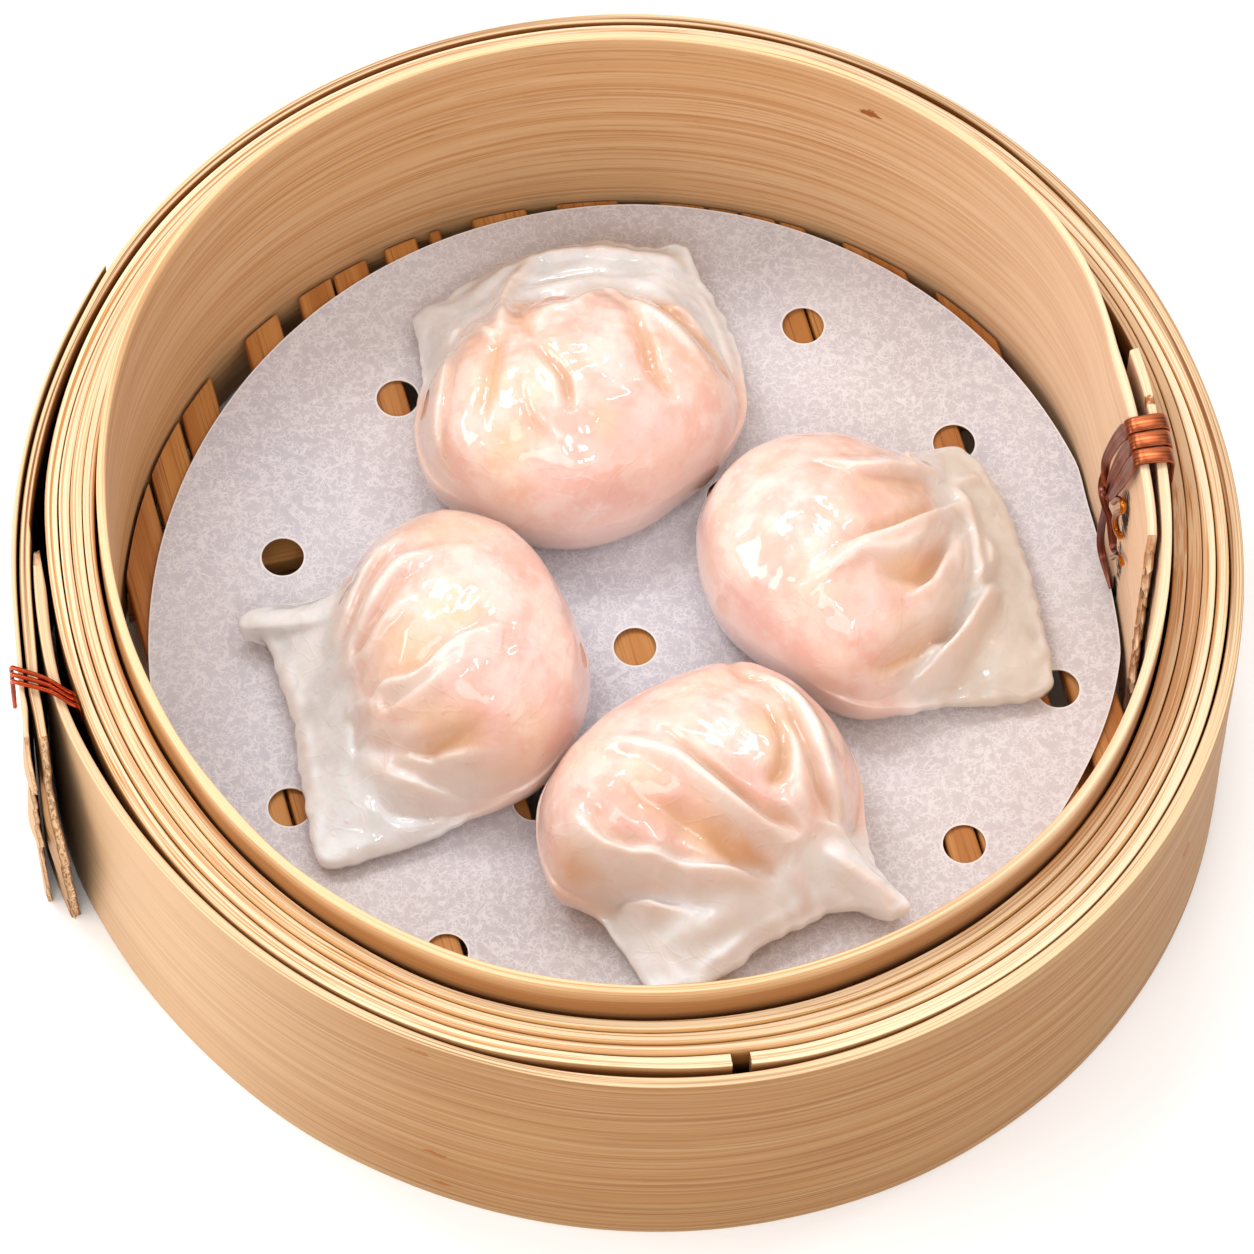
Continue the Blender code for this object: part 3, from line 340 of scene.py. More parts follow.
                (25, -35, 0)]),
            # thin edge
            (0.6, 0.9, [(18.5, -29.5, 0), (21.5, -32.5, 0.9), (23.5, -34.5, 0)]),
            # long crease
            (0.8, 1, [(3.5, -22.5, 0), (5.5, -24, -0.8), (8.5, -27, -1.2), (11.5, -29.5, -1.6),
                (14.5, -31.5, -1.8), (17.5, -33, -1.6), (20.5, -33, -1.2), (23, -34, 0)]),
            # second ridge
            (1.5, 1.3, [(-4.5, -25, 0), (-1.5, -24.5, 1.2), (2, -26, 1.9), (6, -28, 2.4), (9.5, -30.5, 2.5),
                (12.5, -32.5, 2.7), (15.5, -34, 2.9), (18.5, -35, 2.4), (21.5, -35.5, 1.4),
                (22.5, -36, 0)]),
            # hollow between the ridges
            (1.6, 1.7, [(-2, -30, 0), (2.5, -33, -0.9), (7, -34.5, -1.4), (11, -36, -1.9),
                (14.5, -37, -2.9), (17.5, -37.5, -3), (20, -38, 0)]),
            # third ridge
            (1.3, 1.6, [(-8, -31.5, 0), (-6.5, -35, 1.5), (-3.5, -37.5, 2.2), (0, -38.5, 2.7),
                (4, -38.5, 2.9), (8.5, -39.5, 2.9), (13.5, -39.5, 2.7), (17, -38.5, 1.9), (20, -38.5, 0)]),
            # third ridge, inner edge
            (0.6, 0.7, [(-5, -32.5, 0), (-3.5, -36, -0.8), (-0.5, -37, -1.1), (8.5, -38.5, -1.2),
                (14, -38.5, -1.1), (18, -38, 0)]),
            # groove beside the third ridge
            (1.2, 1, [(-10, -35.5, 0), (-7.5, -38.5, -0.8), (-2, -40.5, -2.2), (0.5, -40, -2.4),
                (8, -42, -1.2), (12, -41.5, 0)]),
            # fourth ridge
            (0.9, 1.3, [(-8, -40, 0), (-5, -40, 1.4), (-1.5, -40.5, 1.8), (2, -42, 1.9), (5, -42.5, 1.8),
                (7.5, -42.5, 1.2), (9.5, -43.5, 0)]),
            # flange low roll
            (1.6, 1.6, [(4.5, -45.5, 0), (8.5, -45, 0.8), (16, -42, 0.8), (20, -40, 0)]),
            # flange edge roll
            (1, 1, [(9, -49.5, 0), (13, -47.5, 0.8), (17.5, -44, 0.9), (25, -39.5, 0.8), (28.5, -38.5, 0)]),
            # neck roll
            (1.3, 1.2, [(20.5, -37, 0), (22, -37.5, 1.5), (23, -39, 1.4), (22.5, -40.5, 0)]),
            # tail ridge
            (1.3, 1.3, [(25, -35, 0), (28.5, -36, 1.2), (31.5, -37, 1.2), (34.5, -38.5, 0.8),
                (36.5, -39, 0)]),
        ],
        "swells": [(14.5, -22.5, 4, 0.5), (6, -32.5, 6, -0.2)],
        "warm": [(17.5, -22, 2.5, 1), (19, -26, 2, 0.9), (10.5, -30.5, 2.5, 0.5), (11, -36, 3, 0.7),
                 (-5, -39.5, 3.5, 1), (-1.5, -40, 2, 0.8), (-7.5, -38, 3, 0.5), (1.5, -29, 3, 0.5),
                 (16.5, -37.5, 2, 0.6)],
        "rose": [(4, -34, 5, 0.7), (14, -29.5, 3, 0.6), (-2.5, -33, 3, 0.4), (-9.5, -16.5, 4, 0.4)],
    },
}
NECK_RISE = 7.0
FLANGE_HALF = 0.7
NECK_BLEND = 2.4
DOME_POWER = 2.3
EDGE_STEPS = 13
SKIN_ROWS = 96

# Ties: a drop, tail or hook runs down the bore as (angle, height, inset, width)
STRAP_ANGLES = (12.4, 10.3, 8.2)
STRAP_WIDTH = 2.3
STRAP_THICK = 0.5
TAIL_WIDTH = 1.3
TAIL_THICK = 0.4
STRAP_DROPS = (
    [(13.5, 48.6, 0.75, 0.95), (15.0, 43.0, 1.0, 0.7), (16.4, 36.5, 1.2, 0.58), (16.4, 32.4, 1.1, 0.48),
     (15.2, 30.4, 1.0, 0.4)],
    [(11.3, 48.0, 0.75, 0.95), (12.4, 43.0, 1.0, 0.7), (13.5, 37.5, 1.2, 0.56), (14.0, 33.0, 1.2, 0.44),
     (13.9, 30.6, 1.2, 0.36)],
    [(9.0, 48.0, 0.75, 0.95), (10.0, 43.6, 1.0, 0.7), (11.0, 39.6, 1.2, 0.56), (12.0, 36.0, 1.3, 0.44),
     (12.9, 33.0, 1.3, 0.36)])
TAILS = {
    "tail_1": [(17.7, 30.0, 1.0, 0.35), (16.4, 30.6, 1.5, 0.7), (15.0, 30.8, 1.9, 0.75),
               (13.8, 29.6, 1.7, 0.7), (12.5, 27.9, 1.2, 0.8), (11.3, 25.7, 1.0, 0.9),
               (10.2, 24.6, 1.0, 0.7), (8.8, 26.0, 0.9, 0.4)],
    "tail_2": [(13.6, 33.6, 2.2, 0.4), (14.7, 30.0, 1.3, 0.7), (14.8, 26.3, 1.2, 0.75),
               (15.1, 21.6, 1.2, 0.8), (14.9, 17.6, 1.2, 0.85), (13.8, 15.6, 1.1, 0.8),
               (11.9, 15.0, 1.0, 0.6), (9.6, 14.8, 0.9, 0.3)]}
HOOKS = (
    ("hook_1", 0.45, [(12.3, 33.0, 1.1, 1.0), (11.2, 36.0, 0.9, 1.0), (9.7, 38.0, 0.75, 1.0),
                      (9.1, 37.0, 0.85, 1.0), (10.2, 34.0, 1.15, 1.0), (10.5, 31.5, 1.2, 1.0),
                      (9.8, 30.2, 1.0, 1.0), (8.6, 31.0, 0.85, 1.0)]),
    ("hook_2", 0.35, [(10.7, 21.0, 0.85, 1.0), (9.2, 24.5, 0.85, 1.0), (7.7, 27.0, 0.75, 1.0),
                      (6.6, 27.5, 0.7, 1.0)]))
LIP_CORE = 67.4
TIE_FACE = (-0.2, -0.5, 0.85)
STRAND_RADIUS = 0.3
STRAND_STARTS = (194.9, 195.6, 196.3)
STRAND_SWING = 4.6

# Knots in the bamboo, and near-black painted shadows on the bore behind the ties: place along the strip,
# height, half width, half height
WALL_KNOTS = [(438.6, 25.0, 1.4, 2.2), (327.8, 41.4, 2.0, 0.6), (330.1, 12.7, 2.0, 0.6),
              (330.7, 4.4, 1.6, 0.5)]
LIP_KNOTS = [(85.5, 46.0, 2.0, 1.0), (491.6, 52.3, 0.9, 2.0)]
LIP_PAINTED_SHADOWS = [(13.6, 33.0, 2.2, 7.0), (13.6, 20.0, 1.8, 5.0), (14.2, 11.5, 1.8, 4.5)]

# The table under the basket, in metres
TABLE_HALF = 3.0
TABLE_DROP = 0.0002

# Studio: name, direction, distance, width and height in metres, watts
LIGHTS = [("key_window_a", (-0.505, 0.326, 0.84), 1.3, (0.2, 0.38), 2.4),
          ("key_window_b", (-0.335, 0.394, 0.84), 1.3, (0.2, 0.38), 2.4),
          ("back_window", (0.0, 0.47, 0.88), 1.3, (0.34, 0.16), 2.6),
          ("right_window", (0.42, 0.2, 0.88), 1.3, (0.12, 0.3), 1.2),
          ("fill_left", (-0.92, -0.12, 0.42), 1.5, (1.0, 0.5), 8.0),
          ("front_window", (0.16, -0.66, 0.76), 1.4, (0.12, 0.2), 0.9),
          ("fill_high", (-0.22, -0.65, 0.72), 1.5, (0.8, 0.5), 3.6),
          ("fill_front", (0.35, -0.75, 0.55), 1.6, (1.3, 1.0), 2.8)]
EYE = (0.00104, -0.5103, 0.9512)
AIM = (0.00104, -0.0014, 0.022)
ROLL = 1.51
LENS = 229.7
SKY = (1.0, 0.985, 0.97, 1.0)
SKY_STRENGTH = 0.93


class Shade:
    """One shader value, so that shader sums read as ordinary sums."""

    def __init__(self, finish, socket):
        self.finish = finish
        self.socket = socket

    def sum(self, operation, *terms, clamp=False):
        settings = {"operation": operation, "use_clamp": clamp}
        return self.finish.node("ShaderNodeMath", settings, dict(enumerate(terms)))

    def __add__(self, other):
        return self.sum("ADD", self, other)

    def __sub__(self, other):
        return self.sum("SUBTRACT", self, other)

    def __rsub__(self, other):
        return self.sum("SUBTRACT", other, self)

    def __mul__(self, other):
        return self.sum("MULTIPLY", self, other)

    def __truediv__(self, other):
        return self.sum("DIVIDE", self, other)

    def __abs__(self):
        return self.sum("ABSOLUTE", self)

    __radd__ = __add__
    __rmul__ = __mul__

    def limit(self):
        """Held between nothing and one."""
        return self.sum("ADD", self, 0.0, clamp=True)

    def rise(self, low, high):
        """Smoothly from nothing at low to one at high, or the other way round."""
        start, end = (low, high) if low < high else (high, low)
        sockets = {"Value": self, "From Min": start, "From Max": end}
        risen = self.finish.node("ShaderNodeMapRange", {"interpolation_type": "SMOOTHSTEP"}, sockets)
        return risen if low < high else 1 - risen

    def line(self, middle, width):
        """One where the value is at middle, fading out within the width."""
        return abs(self - middle).rise(width, 0.0)


class Finish:
    """A material while it is being mixed; fixed holds the values that are the same all over."""

    def __init__(self, name, fixed):
        self.material = bpy.data.materials.new(name)
        self.material.use_nodes = True
        self.tree = self.material.node_tree
        self.shader = self.tree.nodes["Principled BSDF"]
        for socket, value in fixed.items():
            self.shader.inputs[socket].default_value = value

    def node(self, kind, settings=None, sockets=None, output=0):
        """Adds a node: its settings first, then its sockets' values and links."""
        made = self.tree.nodes.new(kind)
        for key, value in (settings or {}).items():
            setattr(made, key, value)
        for key, value in (sockets or {}).items():
            if isinstance(value, Shade):
                self.tree.links.new(value.socket, made.inputs[key])
            else:
                made.inputs[key].default_value = value
        return Shade(self, made.outputs[output])

    def value(self, name):
        """A value that the mesh carries at its points."""
        return self.node("ShaderNodeAttribute", {"attribute_name": name}, output=2)

    def place(self, name=None):
        """The point's place in metres, or a place along the grain that the mesh carries."""
        if name is None:
            return self.node("ShaderNodeTexCoord", output=3)
        return self.node("ShaderNodeAttribute", {"attribute_name": name}, output=1)

    def stretch(self, vector, pace, shift=(0.0, 0.0, 0.0)):
        sockets = {0: vector, 1: pace, 2: shift}
        return self.node("ShaderNodeVectorMath", {"operation": "MULTIPLY_ADD"}, sockets)

    def part(self, vector, axis):
        return self.node("ShaderNodeSeparateXYZ", None, {0: vector}, output=axis)

    def noise(self, place, pace, detail, rough=0.5, shift=(0.0, 0.0, 0.0), warp=0.0):
        """Cloudy noise; pace is how many blotches fit in one unit, the same or its own for each axis."""
        pace = pace if isinstance(pace, tuple) else (pace, pace, pace)
        sockets = {"Vector": self.stretch(place, pace, shift), "Scale": 1.0, "Detail": detail,
                   "Roughness": rough, "Distortion": warp}
        return self.node("ShaderNodeTexNoise", None, sockets)

    def cells(self, place, pace):
        sockets = {"Vector": self.stretch(place, (pace, pace, pace)), "Scale": 1.0}
        return self.node("ShaderNodeTexVoronoi", None, sockets)

    def mix(self, amount, first, second):
        """Colours mixed by an amount; a plain colour is three numbers."""
        settings = {"data_type": "RGBA", "clamp_factor": True}
        first, second = [(*c, 1.0) if isinstance(c, tuple) else c for c in (first, second)]
        return self.node("ShaderNodeMix", settings, {0: amount, 6: first, 7: second}, output=2)

    def wear(self, colour, rough, relief=None, depth=0.0001, strength=1.0):
        """Puts the mixed colour, roughness and relief on the shader."""
        self.tree.links.new(colour.socket, self.shader.inputs["Base Color"])
        self.tree.links.new(rough.socket, self.shader.inputs["Roughness"])
        if relief is not None:
            sockets = {"Height": relief, "Distance": depth, "Strength": strength}
            raised = self.node("ShaderNodeBump", None, sockets)
            self.tree.links.new(raised.socket, self.shader.inputs["Normal"])
        return self.material


def curve(knots, at, period=0.0):
    """A smooth line through (place, value) knots."""
    table = np.array(knots, float)
    at = np.asarray(at, float)
    if period:
        at = np.mod(at, period)
        turn = np.array((period, 0.0))
        table = np.vstack([table[-1:] - turn, table, table[:2] + turn])
    x, y = table[:, 0], table[:, 1]
    slope = np.empty(len(x))
    slope[1:-1] = (y[2:] - y[:-2]) / (x[2:] - x[:-2])
    slope[0] = (y[1] - y[0]) / (x[1] - x[0])
    slope[-1] = (y[-1] - y[-2]) / (x[-1] - x[-2])
    at = np.clip(at, x[0], x[-1])
    k = np.clip(np.searchsorted(x, at, side="right") - 1, 0, len(x) - 2)
    span = x[k + 1] - x[k]
    t = (at - x[k]) / span
    return ((1 + 2 * t) * (1 - t) ** 2 * y[k] + t * (1 - t) ** 2 * span * slope[k]
            + t * t * (3 - 2 * t) * y[k + 1] + t * t * (t - 1) * span * slope[k + 1])


def smooth_step(value):
    value = np.clip(value, 0.0, 1.0)
    return value * value * (3.0 - 2.0 * value)


def bump(angle, start, end, blur):
    """One between two angles, falling to nothing over the blur at both."""
    angle = (angle + 180.0) % 360.0 - 180.0
    return np.minimum(np.clip((angle - start) / blur, 0.0, 1.0), np.clip((end - angle) / blur, 0.0, 1.0))


def waver(u, v, size, seed, waves=7):
    """Smooth unevenness between about -1 and 1 with features of about the given size."""
    rng = np.random.default_rng(seed)
    total = np.zeros(np.broadcast(u, v).shape)
    for _ in range(waves):
        turn = rng.uniform(0, 2 * math.pi)
        pace = rng.uniform(0.6, 1.5) * 2 * math.pi / size
        total = total + np.sin(pace * (u * math.cos(turn) + v * math.sin(turn)) + rng.uniform(0, 6.3))
    return total / math.sqrt(waves) / 1.4


def make_piece(name, points, faces, look, nodes=(), values=None, smooth=True, sharp=None):
    """A mesh piece from millimetre points in the basket's own frame."""
    points = np.asarray(points, float).reshape(-1, 3)
    placed = (points - np.array((CENTRE[0], CENTRE[1], 0.0))) * MM
    mesh = bpy.data.meshes.new(name)
    mesh.from_pydata(placed.tolist(), [], [tuple(int(i) for i in face) for face in faces])
    work = bmesh.new()
    work.from_mesh(mesh)
    bmesh.ops.recalc_face_normals(work, faces=work.faces)
    work.to_mesh(mesh)
    work.free()
    for key, data in (values or {}).items():
        data = np.asarray(data, np.float32)
        if data.ndim == 2:
            mesh.attributes.new(key, "FLOAT_VECTOR", "POINT").data.foreach_set("vector", data.ravel())
        else:
            mesh.attributes.new(key, "FLOAT", "POINT").data.foreach_set("value", data)
    mesh.materials.append(look)
    mesh.polygons.foreach_set("use_smooth", [smooth] * len(mesh.polygons))
    mesh.update()
    if sharp is not None:
        mesh.set_sharp_from_angle(angle=math.radians(sharp))
    piece = bpy.data.objects.new(name, mesh)
    bpy.context.scene.collection.objects.link(piece)
    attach(piece, "root")
    if nodes:
        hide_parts(*nodes)
    return piece


def grid_faces(rows, size, closed_rows=False, closed_size=True):
    """Quads over rows of points, row after row."""
    a = np.arange(rows if closed_rows else rows - 1)[:, None]
    b = np.arange(size if closed_size else size - 1)[None, :]
    a2, b2 = (a + 1) % rows, (b + 1) % size
    return np.stack([a * size + b, a * size + b2, a2 * size + b2, a2 * size + b], -1).reshape(-1, 4)


def ring_edge(angle, index):
    """Where one ring boundary lies, counted from the outermost ring's outside inwards."""
    outer = curve(RING_OUT, angle, 360.0)
    if index == 0:
        return outer
    first = outer - curve(RING_WIDTH, angle, 360.0)
    lap = np.mod(angle, 360.0)
    lap = np.where(lap < LAP_END - 355.0, lap + 360.0, lap)
    lip = curve(LIP_OUT, lap) + GAP + 0.05
    bore = np.maximum(curve(RING_BORE, angle, 360.0), lip)
    bore = bore + (lip - bore) * bump(angle, -70.0, 8.0, 14.0)
    return first + (bore - first) * (index - 1) / 3.0


def strip_section(levels):
    """A strip's section: up the outer face, over the top, down the inner face, back along the bottom.

    Each point has its slip and lift round the soft corners, its rise up the face and its side.
    """
    bend = np.radians((22.5, 45.0, 67.5, 90.0))
    slip = np.concatenate([1 - np.cos(bend[::-1]), np.zeros(levels), 1 - np.cos(bend)])
    lift = np.concatenate([-np.sin(bend[::-1]), np.zeros(levels), np.sin(bend)])
    rise = np.concatenate([np.zeros(4), np.linspace(0.0, 1.0, levels), np.ones(4)])
    tall = len(rise)
    inside = np.arange(1, STRIP_ACROSS) / STRIP_ACROSS
    flat, full = np.zeros(len(inside)), np.ones(len(inside))
    side = np.concatenate([np.zeros(tall), inside, np.ones(tall), inside[::-1]])
    slip = np.concatenate([slip, flat, slip[::-1], flat])
    lift = np.concatenate([lift, full, lift[::-1], -full])
    rise = np.concatenate([rise, full, rise[::-1], flat])
    return slip, lift, rise, side, tall


def strip_end(points, grain, first, tall, size, ragged, seed):
    """Fills one end of a strip with points pushed in and out between its two faces.

    Gives the new points, their grain, and the rows of corners that the end's faces join.
    """
    left = first + np.arange(tall)
    right = first + tall + STRIP_ACROSS - 1 + np.arange(tall)[::-1]
    rows = np.arange(1, tall - 1)
    t = (np.arange(1, STRIP_ACROSS) / STRIP_ACROSS)[None, :, None]
    fill = points[left[rows]][:, None] * (1 - t) + points[right[rows]][:, None] * t
    around = np.stack([-fill[..., 1], fill[..., 0], 0.0 * fill[..., 0]], -1)
    around /= np.linalg.norm(around, axis=-1, keepdims=True)
    jog = ragged * (waver(fill[..., 2], 9.0 * t[..., 0], 2.4, seed + 7, 11) - 0.3)
    fill = (fill + around * jog[..., None]).reshape(-1, 3)
    more = (grain[left[rows]][:, None] * (1 - t) + grain[right[rows]][:, None] * t).reshape(-1, 3)
    table = np.zeros((tall, STRIP_ACROSS + 1), int)
    table[:, 0], table[:, -1] = left, right
    table[1:-1, 1:-1] = len(points) + np.arange(len(fill)).reshape(-1, STRIP_ACROSS - 1)
    table[-1, 1:-1] = first + tall + np.arange(STRIP_ACROSS - 1)
    table[0, 1:-1] = first + size - 1 - np.arange(STRIP_ACROSS - 1)
    return fill, more, table


def strip(node, look, start, end, outer, inner, top, closed=False, levels=20, step=1.2,
          corner=0.3, seed=0, top_wave=0.1, face_wave=0.08, ragged=0.25, painted_shade=("inner",), dark_by=4.0):
    """A bent bamboo strip. start and end give the angle at each height, outer and inner the radius.

    The covered faces, which lie against the next strip, get painted shade that deepens over dark_by
    millimetres down from the top.
    """
    slip, lift, rise, side, tall = strip_section(levels)
    size = len(side)
    low, high = start(rise * RIM_Z), end(rise * RIM_Z)
    count = max(int((high - low).mean() / step), 6)
    share = np.arange(count) / count if closed else np.linspace(0.0, 1.0, count)
    angle = low + (high - low) * share[:, None]
    rad = np.radians(angle)
    arc = GRAIN_RADIUS * (np.abs(rad - math.pi) if closed else rad)
    run = GRAIN_RADIUS * np.sin(rad) + 37.0 * np.cos(2 * rad) if closed else arc
    peak = top(angle) + top_wave * 0.5 * (waver(run, 0.0, 34.0, seed) - 1.0) * (rise > 0)
    wide = outer(angle, rise * RIM_Z) - inner(angle, rise * RIM_Z)
    curl = np.minimum(corner, 0.36 * wide)
    z = curl + rise * (peak - 2 * curl) + lift * curl
    out, bore = outer(angle, z), inner(angle, z)
    flat = (slip == 0.0) & (side > 0.0) & (side < 1.0)
    sunk = np.where(flat, out - curl + (bore - out + 2 * curl) * side,
                    np.where(side < 0.5, out - slip * curl, bore + slip * curl))
    facing = np.where(side < 0.5, 1.0, -1.0) * (~flat)
    swell = np.clip(wide / 1.5, 0.0, 1.0) * face_wave * (waver(run, z, 26.0, seed + 1) - 1.5) * facing
    radius = sunk + swell
    points = np.stack([radius * np.cos(rad), radius * np.sin(rad), z], -1).reshape(-1, 3)
    cut = np.broadcast_to(np.abs(lift), z.shape).reshape(-1)
    # Painted shade on the covered faces, deepening down from the top
    covered = (("outer" in painted_shade) * (side < 0.5) + ("inner" in painted_shade) * (side > 0.5)) * (~flat)
    dark = (covered * np.clip((peak - z) / dark_by, 0.0, 1.0)).reshape(-1)
    grain = np.stack([arc, z, out - radius], -1).reshape(-1, 3)
    faces = grid_faces(count, size, closed_rows=closed).tolist()
    if not closed:
        for row, way in ((0, -1.0), (count - 1, 1.0)):
            fill, more, table = strip_end(points, grain, row * size, tall, size, ragged * way, seed)
            points, grain = np.vstack([points, fill]), np.vstack([grain, more])
            cut = np.concatenate([cut, np.ones(len(fill))])
            dark = np.concatenate([dark, np.zeros(len(fill))])
            for a, b in zip(table, table[1:]):
                faces += [(a[k], a[k + 1], b[k + 1], b[k]) for k in range(STRIP_ACROSS)]
    values = {"grain": grain, "cut": cut, "painted_shade": dark}
    return make_piece(f"{node}_strip", points, faces, look, (node,), values, sharp=55)


def flat_end(angle):
    """A straight end, at the same angle all the way up."""
    return lambda height: np.full(np.shape(height), float(angle))


def torn_end(table, seed, jag, turn=0.0):
    """An uneven end: its angle at each height, with splinters of up to about jag degrees."""
    places = np.array(table, float)

    def end(height):
        line = np.interp(height, places[:, 0], places[:, 1]) + turn
        return line + jag * waver(height, 0.0, 2.6, seed, 9)

    return end


def bore_at(angle):
    """The inside radius of the inner hoop."""
    angle = np.mod(angle, 360.0)
    angle = np.where(angle > 360.0 + LAP_START, angle - 360.0, angle)
    return lip_outside(angle) - LIP_THICK


def lip_outside(angle):
    """The inner hoop's outside radius, a little tighter along the front."""
    return curve(LIP_OUT, angle) - 0.4 * bump(angle, -128.0, -38.0, 16.0)


def make_hoops(looks):
    """The outer wrap with its loose flap, the split skin, the four rim strips and the inner hoop."""
    tip = torn_end(WRAP_TIP, 3, 0.25)
    flap = torn_end(FLAP_EDGE, 5, 0.3, 360.0)
    flap_out = [(row[0], row[2]) for row in FLAP_EDGE]

    def wrap_outer(angle, z):
        line = curve(WRAP_OUT, angle)
        swing = smooth_step((angle - WRAP_END) / 7.0)
        return line + (curve(flap_out, z) - WRAP_OUT[-1][1]) * swing

    def wrap_inner(angle, z):
        thick = WRAP_THICK - 0.25 * bump(angle, 150.0, 200.0, 8.0) * (angle > 400.0) + 0.1 * (angle < 200.0)
        thick = thick - 1.0 * (1.0 - smooth_step((angle - 181.0) / 7.0))
        thick = thick + 0.35 * bump(angle, -75.0, 60.0, 20.0)
        thick = thick + (FLAP_THICK - thick) * np.clip((angle - WRAP_END) / 7.0, 0.0, 1.0)
        return wrap_outer(angle, z) - thick

    strip("outer_wrap", looks["wall"], tip, flap, wrap_outer, wrap_inner,
          lambda angle: np.full(angle.shape, RIM_Z), levels=44, seed=11, ragged=0.45)

    skin_edge = torn_end(SKIN_EDGE, 8, 0.35)
    skin_out = [(row[0], row[2]) for row in SKIN_EDGE]

    def skin_outer(angle, z):
        swing = smooth_step((angle - SKIN_OUT[-1][0]) / 5.0)
        return curve(SKIN_OUT, angle) + (curve(skin_out, z) - SKIN_OUT[-1][1]) * swing

    def skin_inner(angle, z):
        out = skin_outer(angle, z)
        bore = np.maximum(curve(WRAP_OUT, angle + 360.0) + GAP, out - 0.95)
        bore = np.minimum(bore, out - 0.12)
        swing = np.clip((angle - SKIN_OUT[-1][0]) / 5.0, 0.0, 1.0)
        return bore + (out - SKIN_THICK - bore) * swing

    strip("outer_skin", looks["wall"], flat_end(SPLIT_START), skin_edge, skin_outer,
          skin_inner, lambda angle: np.full(angle.shape, RIM_Z), levels=60, step=0.7, corner=0.2,
          seed=21, ragged=0.2)

    for index, node in enumerate(("ring_a", "ring_b", "ring_c", "ring_d")):
        def ring_top(angle, index=index):
            return RIM_Z + RING_RISE[index] - RING_DIP[index] * bump(angle, -4.0, 52.0, 14.0)

        def ring_outer(angle, z, index=index):
            return ring_edge(angle, index) - (0.0, 0.12, 0.05, 0.05)[index]

        def ring_inner(angle, z, index=index):
            return ring_edge(angle, index + 1)

        ends = (BUTT_END, BUTT_START + 360.0) if index == 0 else (0.0, 360.0)
        look = looks["rim_in"] if index > 1 else looks["rim"]
        # Rings get painted shade on both faces where they lie against their neighbours
        strip(node, look, flat_end(ends[0]), flat_end(ends[1]), ring_outer,
              ring_inner, ring_top, closed=index > 0, levels=8, corner=0.14, seed=31 + 7 * index,
              top_wave=0.25, face_wave=0.03, painted_shade=("outer", "inner"), dark_by=7.0 if index else 2.6)

    def lip_inner(angle, z):
        split = 0.75 * bump(angle, LAP_END - 2.4, LAP_END - 0.5, 0.3)
        return lip_outside(angle) - LIP_THICK + split

    # The lip's outer face gets painted shade, deepening from its top to a little below the ring tops
    strip("inner_lip", looks["lip"], torn_end([(0, LAP_START), (52, LAP_START)], 61, 0.55),
          flat_end(LAP_END), lambda angle, z: lip_outside(angle), lip_inner,
          lambda angle: np.full(angle.shape, LIP_Z), levels=44, seed=61, ragged=1.1, painted_shade=("outer",),
          dark_by=LIP_Z - RIM_Z + 3.5)


def rounded_box(left, right, low, high, soft):
    """A box's outline from its upper right corner round to its lower right, with rounded corners."""
    return [(x + soft * math.cos(turn), z + soft * math.sin(turn))
            for x, z, first in ((right - soft, high - soft, 0), (left + soft, high - soft, 90),
                                (left + soft, low + soft, 180), (right - soft, low + soft, 270))
            for turn in np.radians((0, 30, 60, 90)) + math.radians(first)]


def floor_bar(node, look, start, end, tilt, low, high, seed):
    """A floor slat or rail with softened edges, cut to meet the round wall at both ends."""
    loop = rounded_box(start, end, low, high, BAR_EDGE)
    face = [(u, high) for u in np.linspace(end - BAR_EDGE, start + BAR_EDGE, 6)[1:-1]]
    loop = np.array(loop[:4] + face + loop[4:])
    across, z = loop[:, 0], loop[:, 1]
    direction = np.array((math.cos(tilt), math.sin(tilt)))
    ends = []
    for way in (-1.0, 1.0):
        along = np.sqrt(BAR_REACH ** 2 - across ** 2)
        for _ in range(12):
            x = across * direction[0] + way * along * direction[1]
            y = across * direction[1] - way * along * direction[0]
            wall = bore_at(np.degrees(np.arctan2(y, x))) - WALL_GAP
            along = np.sqrt(np.maximum(wall ** 2 - across ** 2, 1.0))
        ends.append(way * along)
    t = np.linspace(0.0, 1.0, BAR_ROWS)[:, None]
    along = ends[0] + (ends[1] - ends[0]) * t
    x = across * direction[0] + along * direction[1]
    y = across * direction[1] - along * direction[0]
    height = z + 0.12 * (waver(along, across, 30.0, seed) - 1.2) * (z > (low + high) / 2)
    points = np.stack([x, y, np.broadcast_to(height, x.shape)], -1).reshape(-1, 3)
    size = len(loop)
    faces = grid_faces(BAR_ROWS, size).tolist()
    faces += [list(range(size)), list(range((BAR_ROWS - 1) * size, BAR_ROWS * size))]
    grain = np.stack([along, np.broadcast_to(z, x.shape), np.broadcast_to(across, x.shape)], -1)
    tone = np.full(len(points), np.random.default_rng(seed).uniform(0.0, 1.0))
    make_piece(f"{node}_bar", points, faces, look, (node,),
               {"grain": grain.reshape(-1, 3), "tone": tone}, sharp=50)


def make_floor_bars(looks):
    tilt = math.radians(SLAT_TILT)
    for number, (start, end) in enumerate(SLATS, 1):
        floor_bar(f"slat_{number:02d}", looks["slat"], start, end, tilt, SLAT_LOW, SLAT_TOP, 200 + number)
    for number, side in enumerate((-1, 1), 1):
        low, high = (corner.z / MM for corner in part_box(f"rail_{number}"))
        middle = side * RAIL_OFFSET
        floor_bar(f"rail_{number}", looks["slat"], middle - RAIL_WIDTH / 2, middle + RAIL_WIDTH / 2,
                  tilt + math.pi / 2, low, high, 240 + number)


def paper_trim(turn):
    """How far the sheet's edge falls short of its circle, as a share, along the right of the front."""
    angle = np.degrees(np.arctan2(np.sin(turn), np.cos(turn)))
    return 0.055 * smooth_step((3.0 - angle) / 33.0) * smooth_step((angle + 80.0) / 20.0)


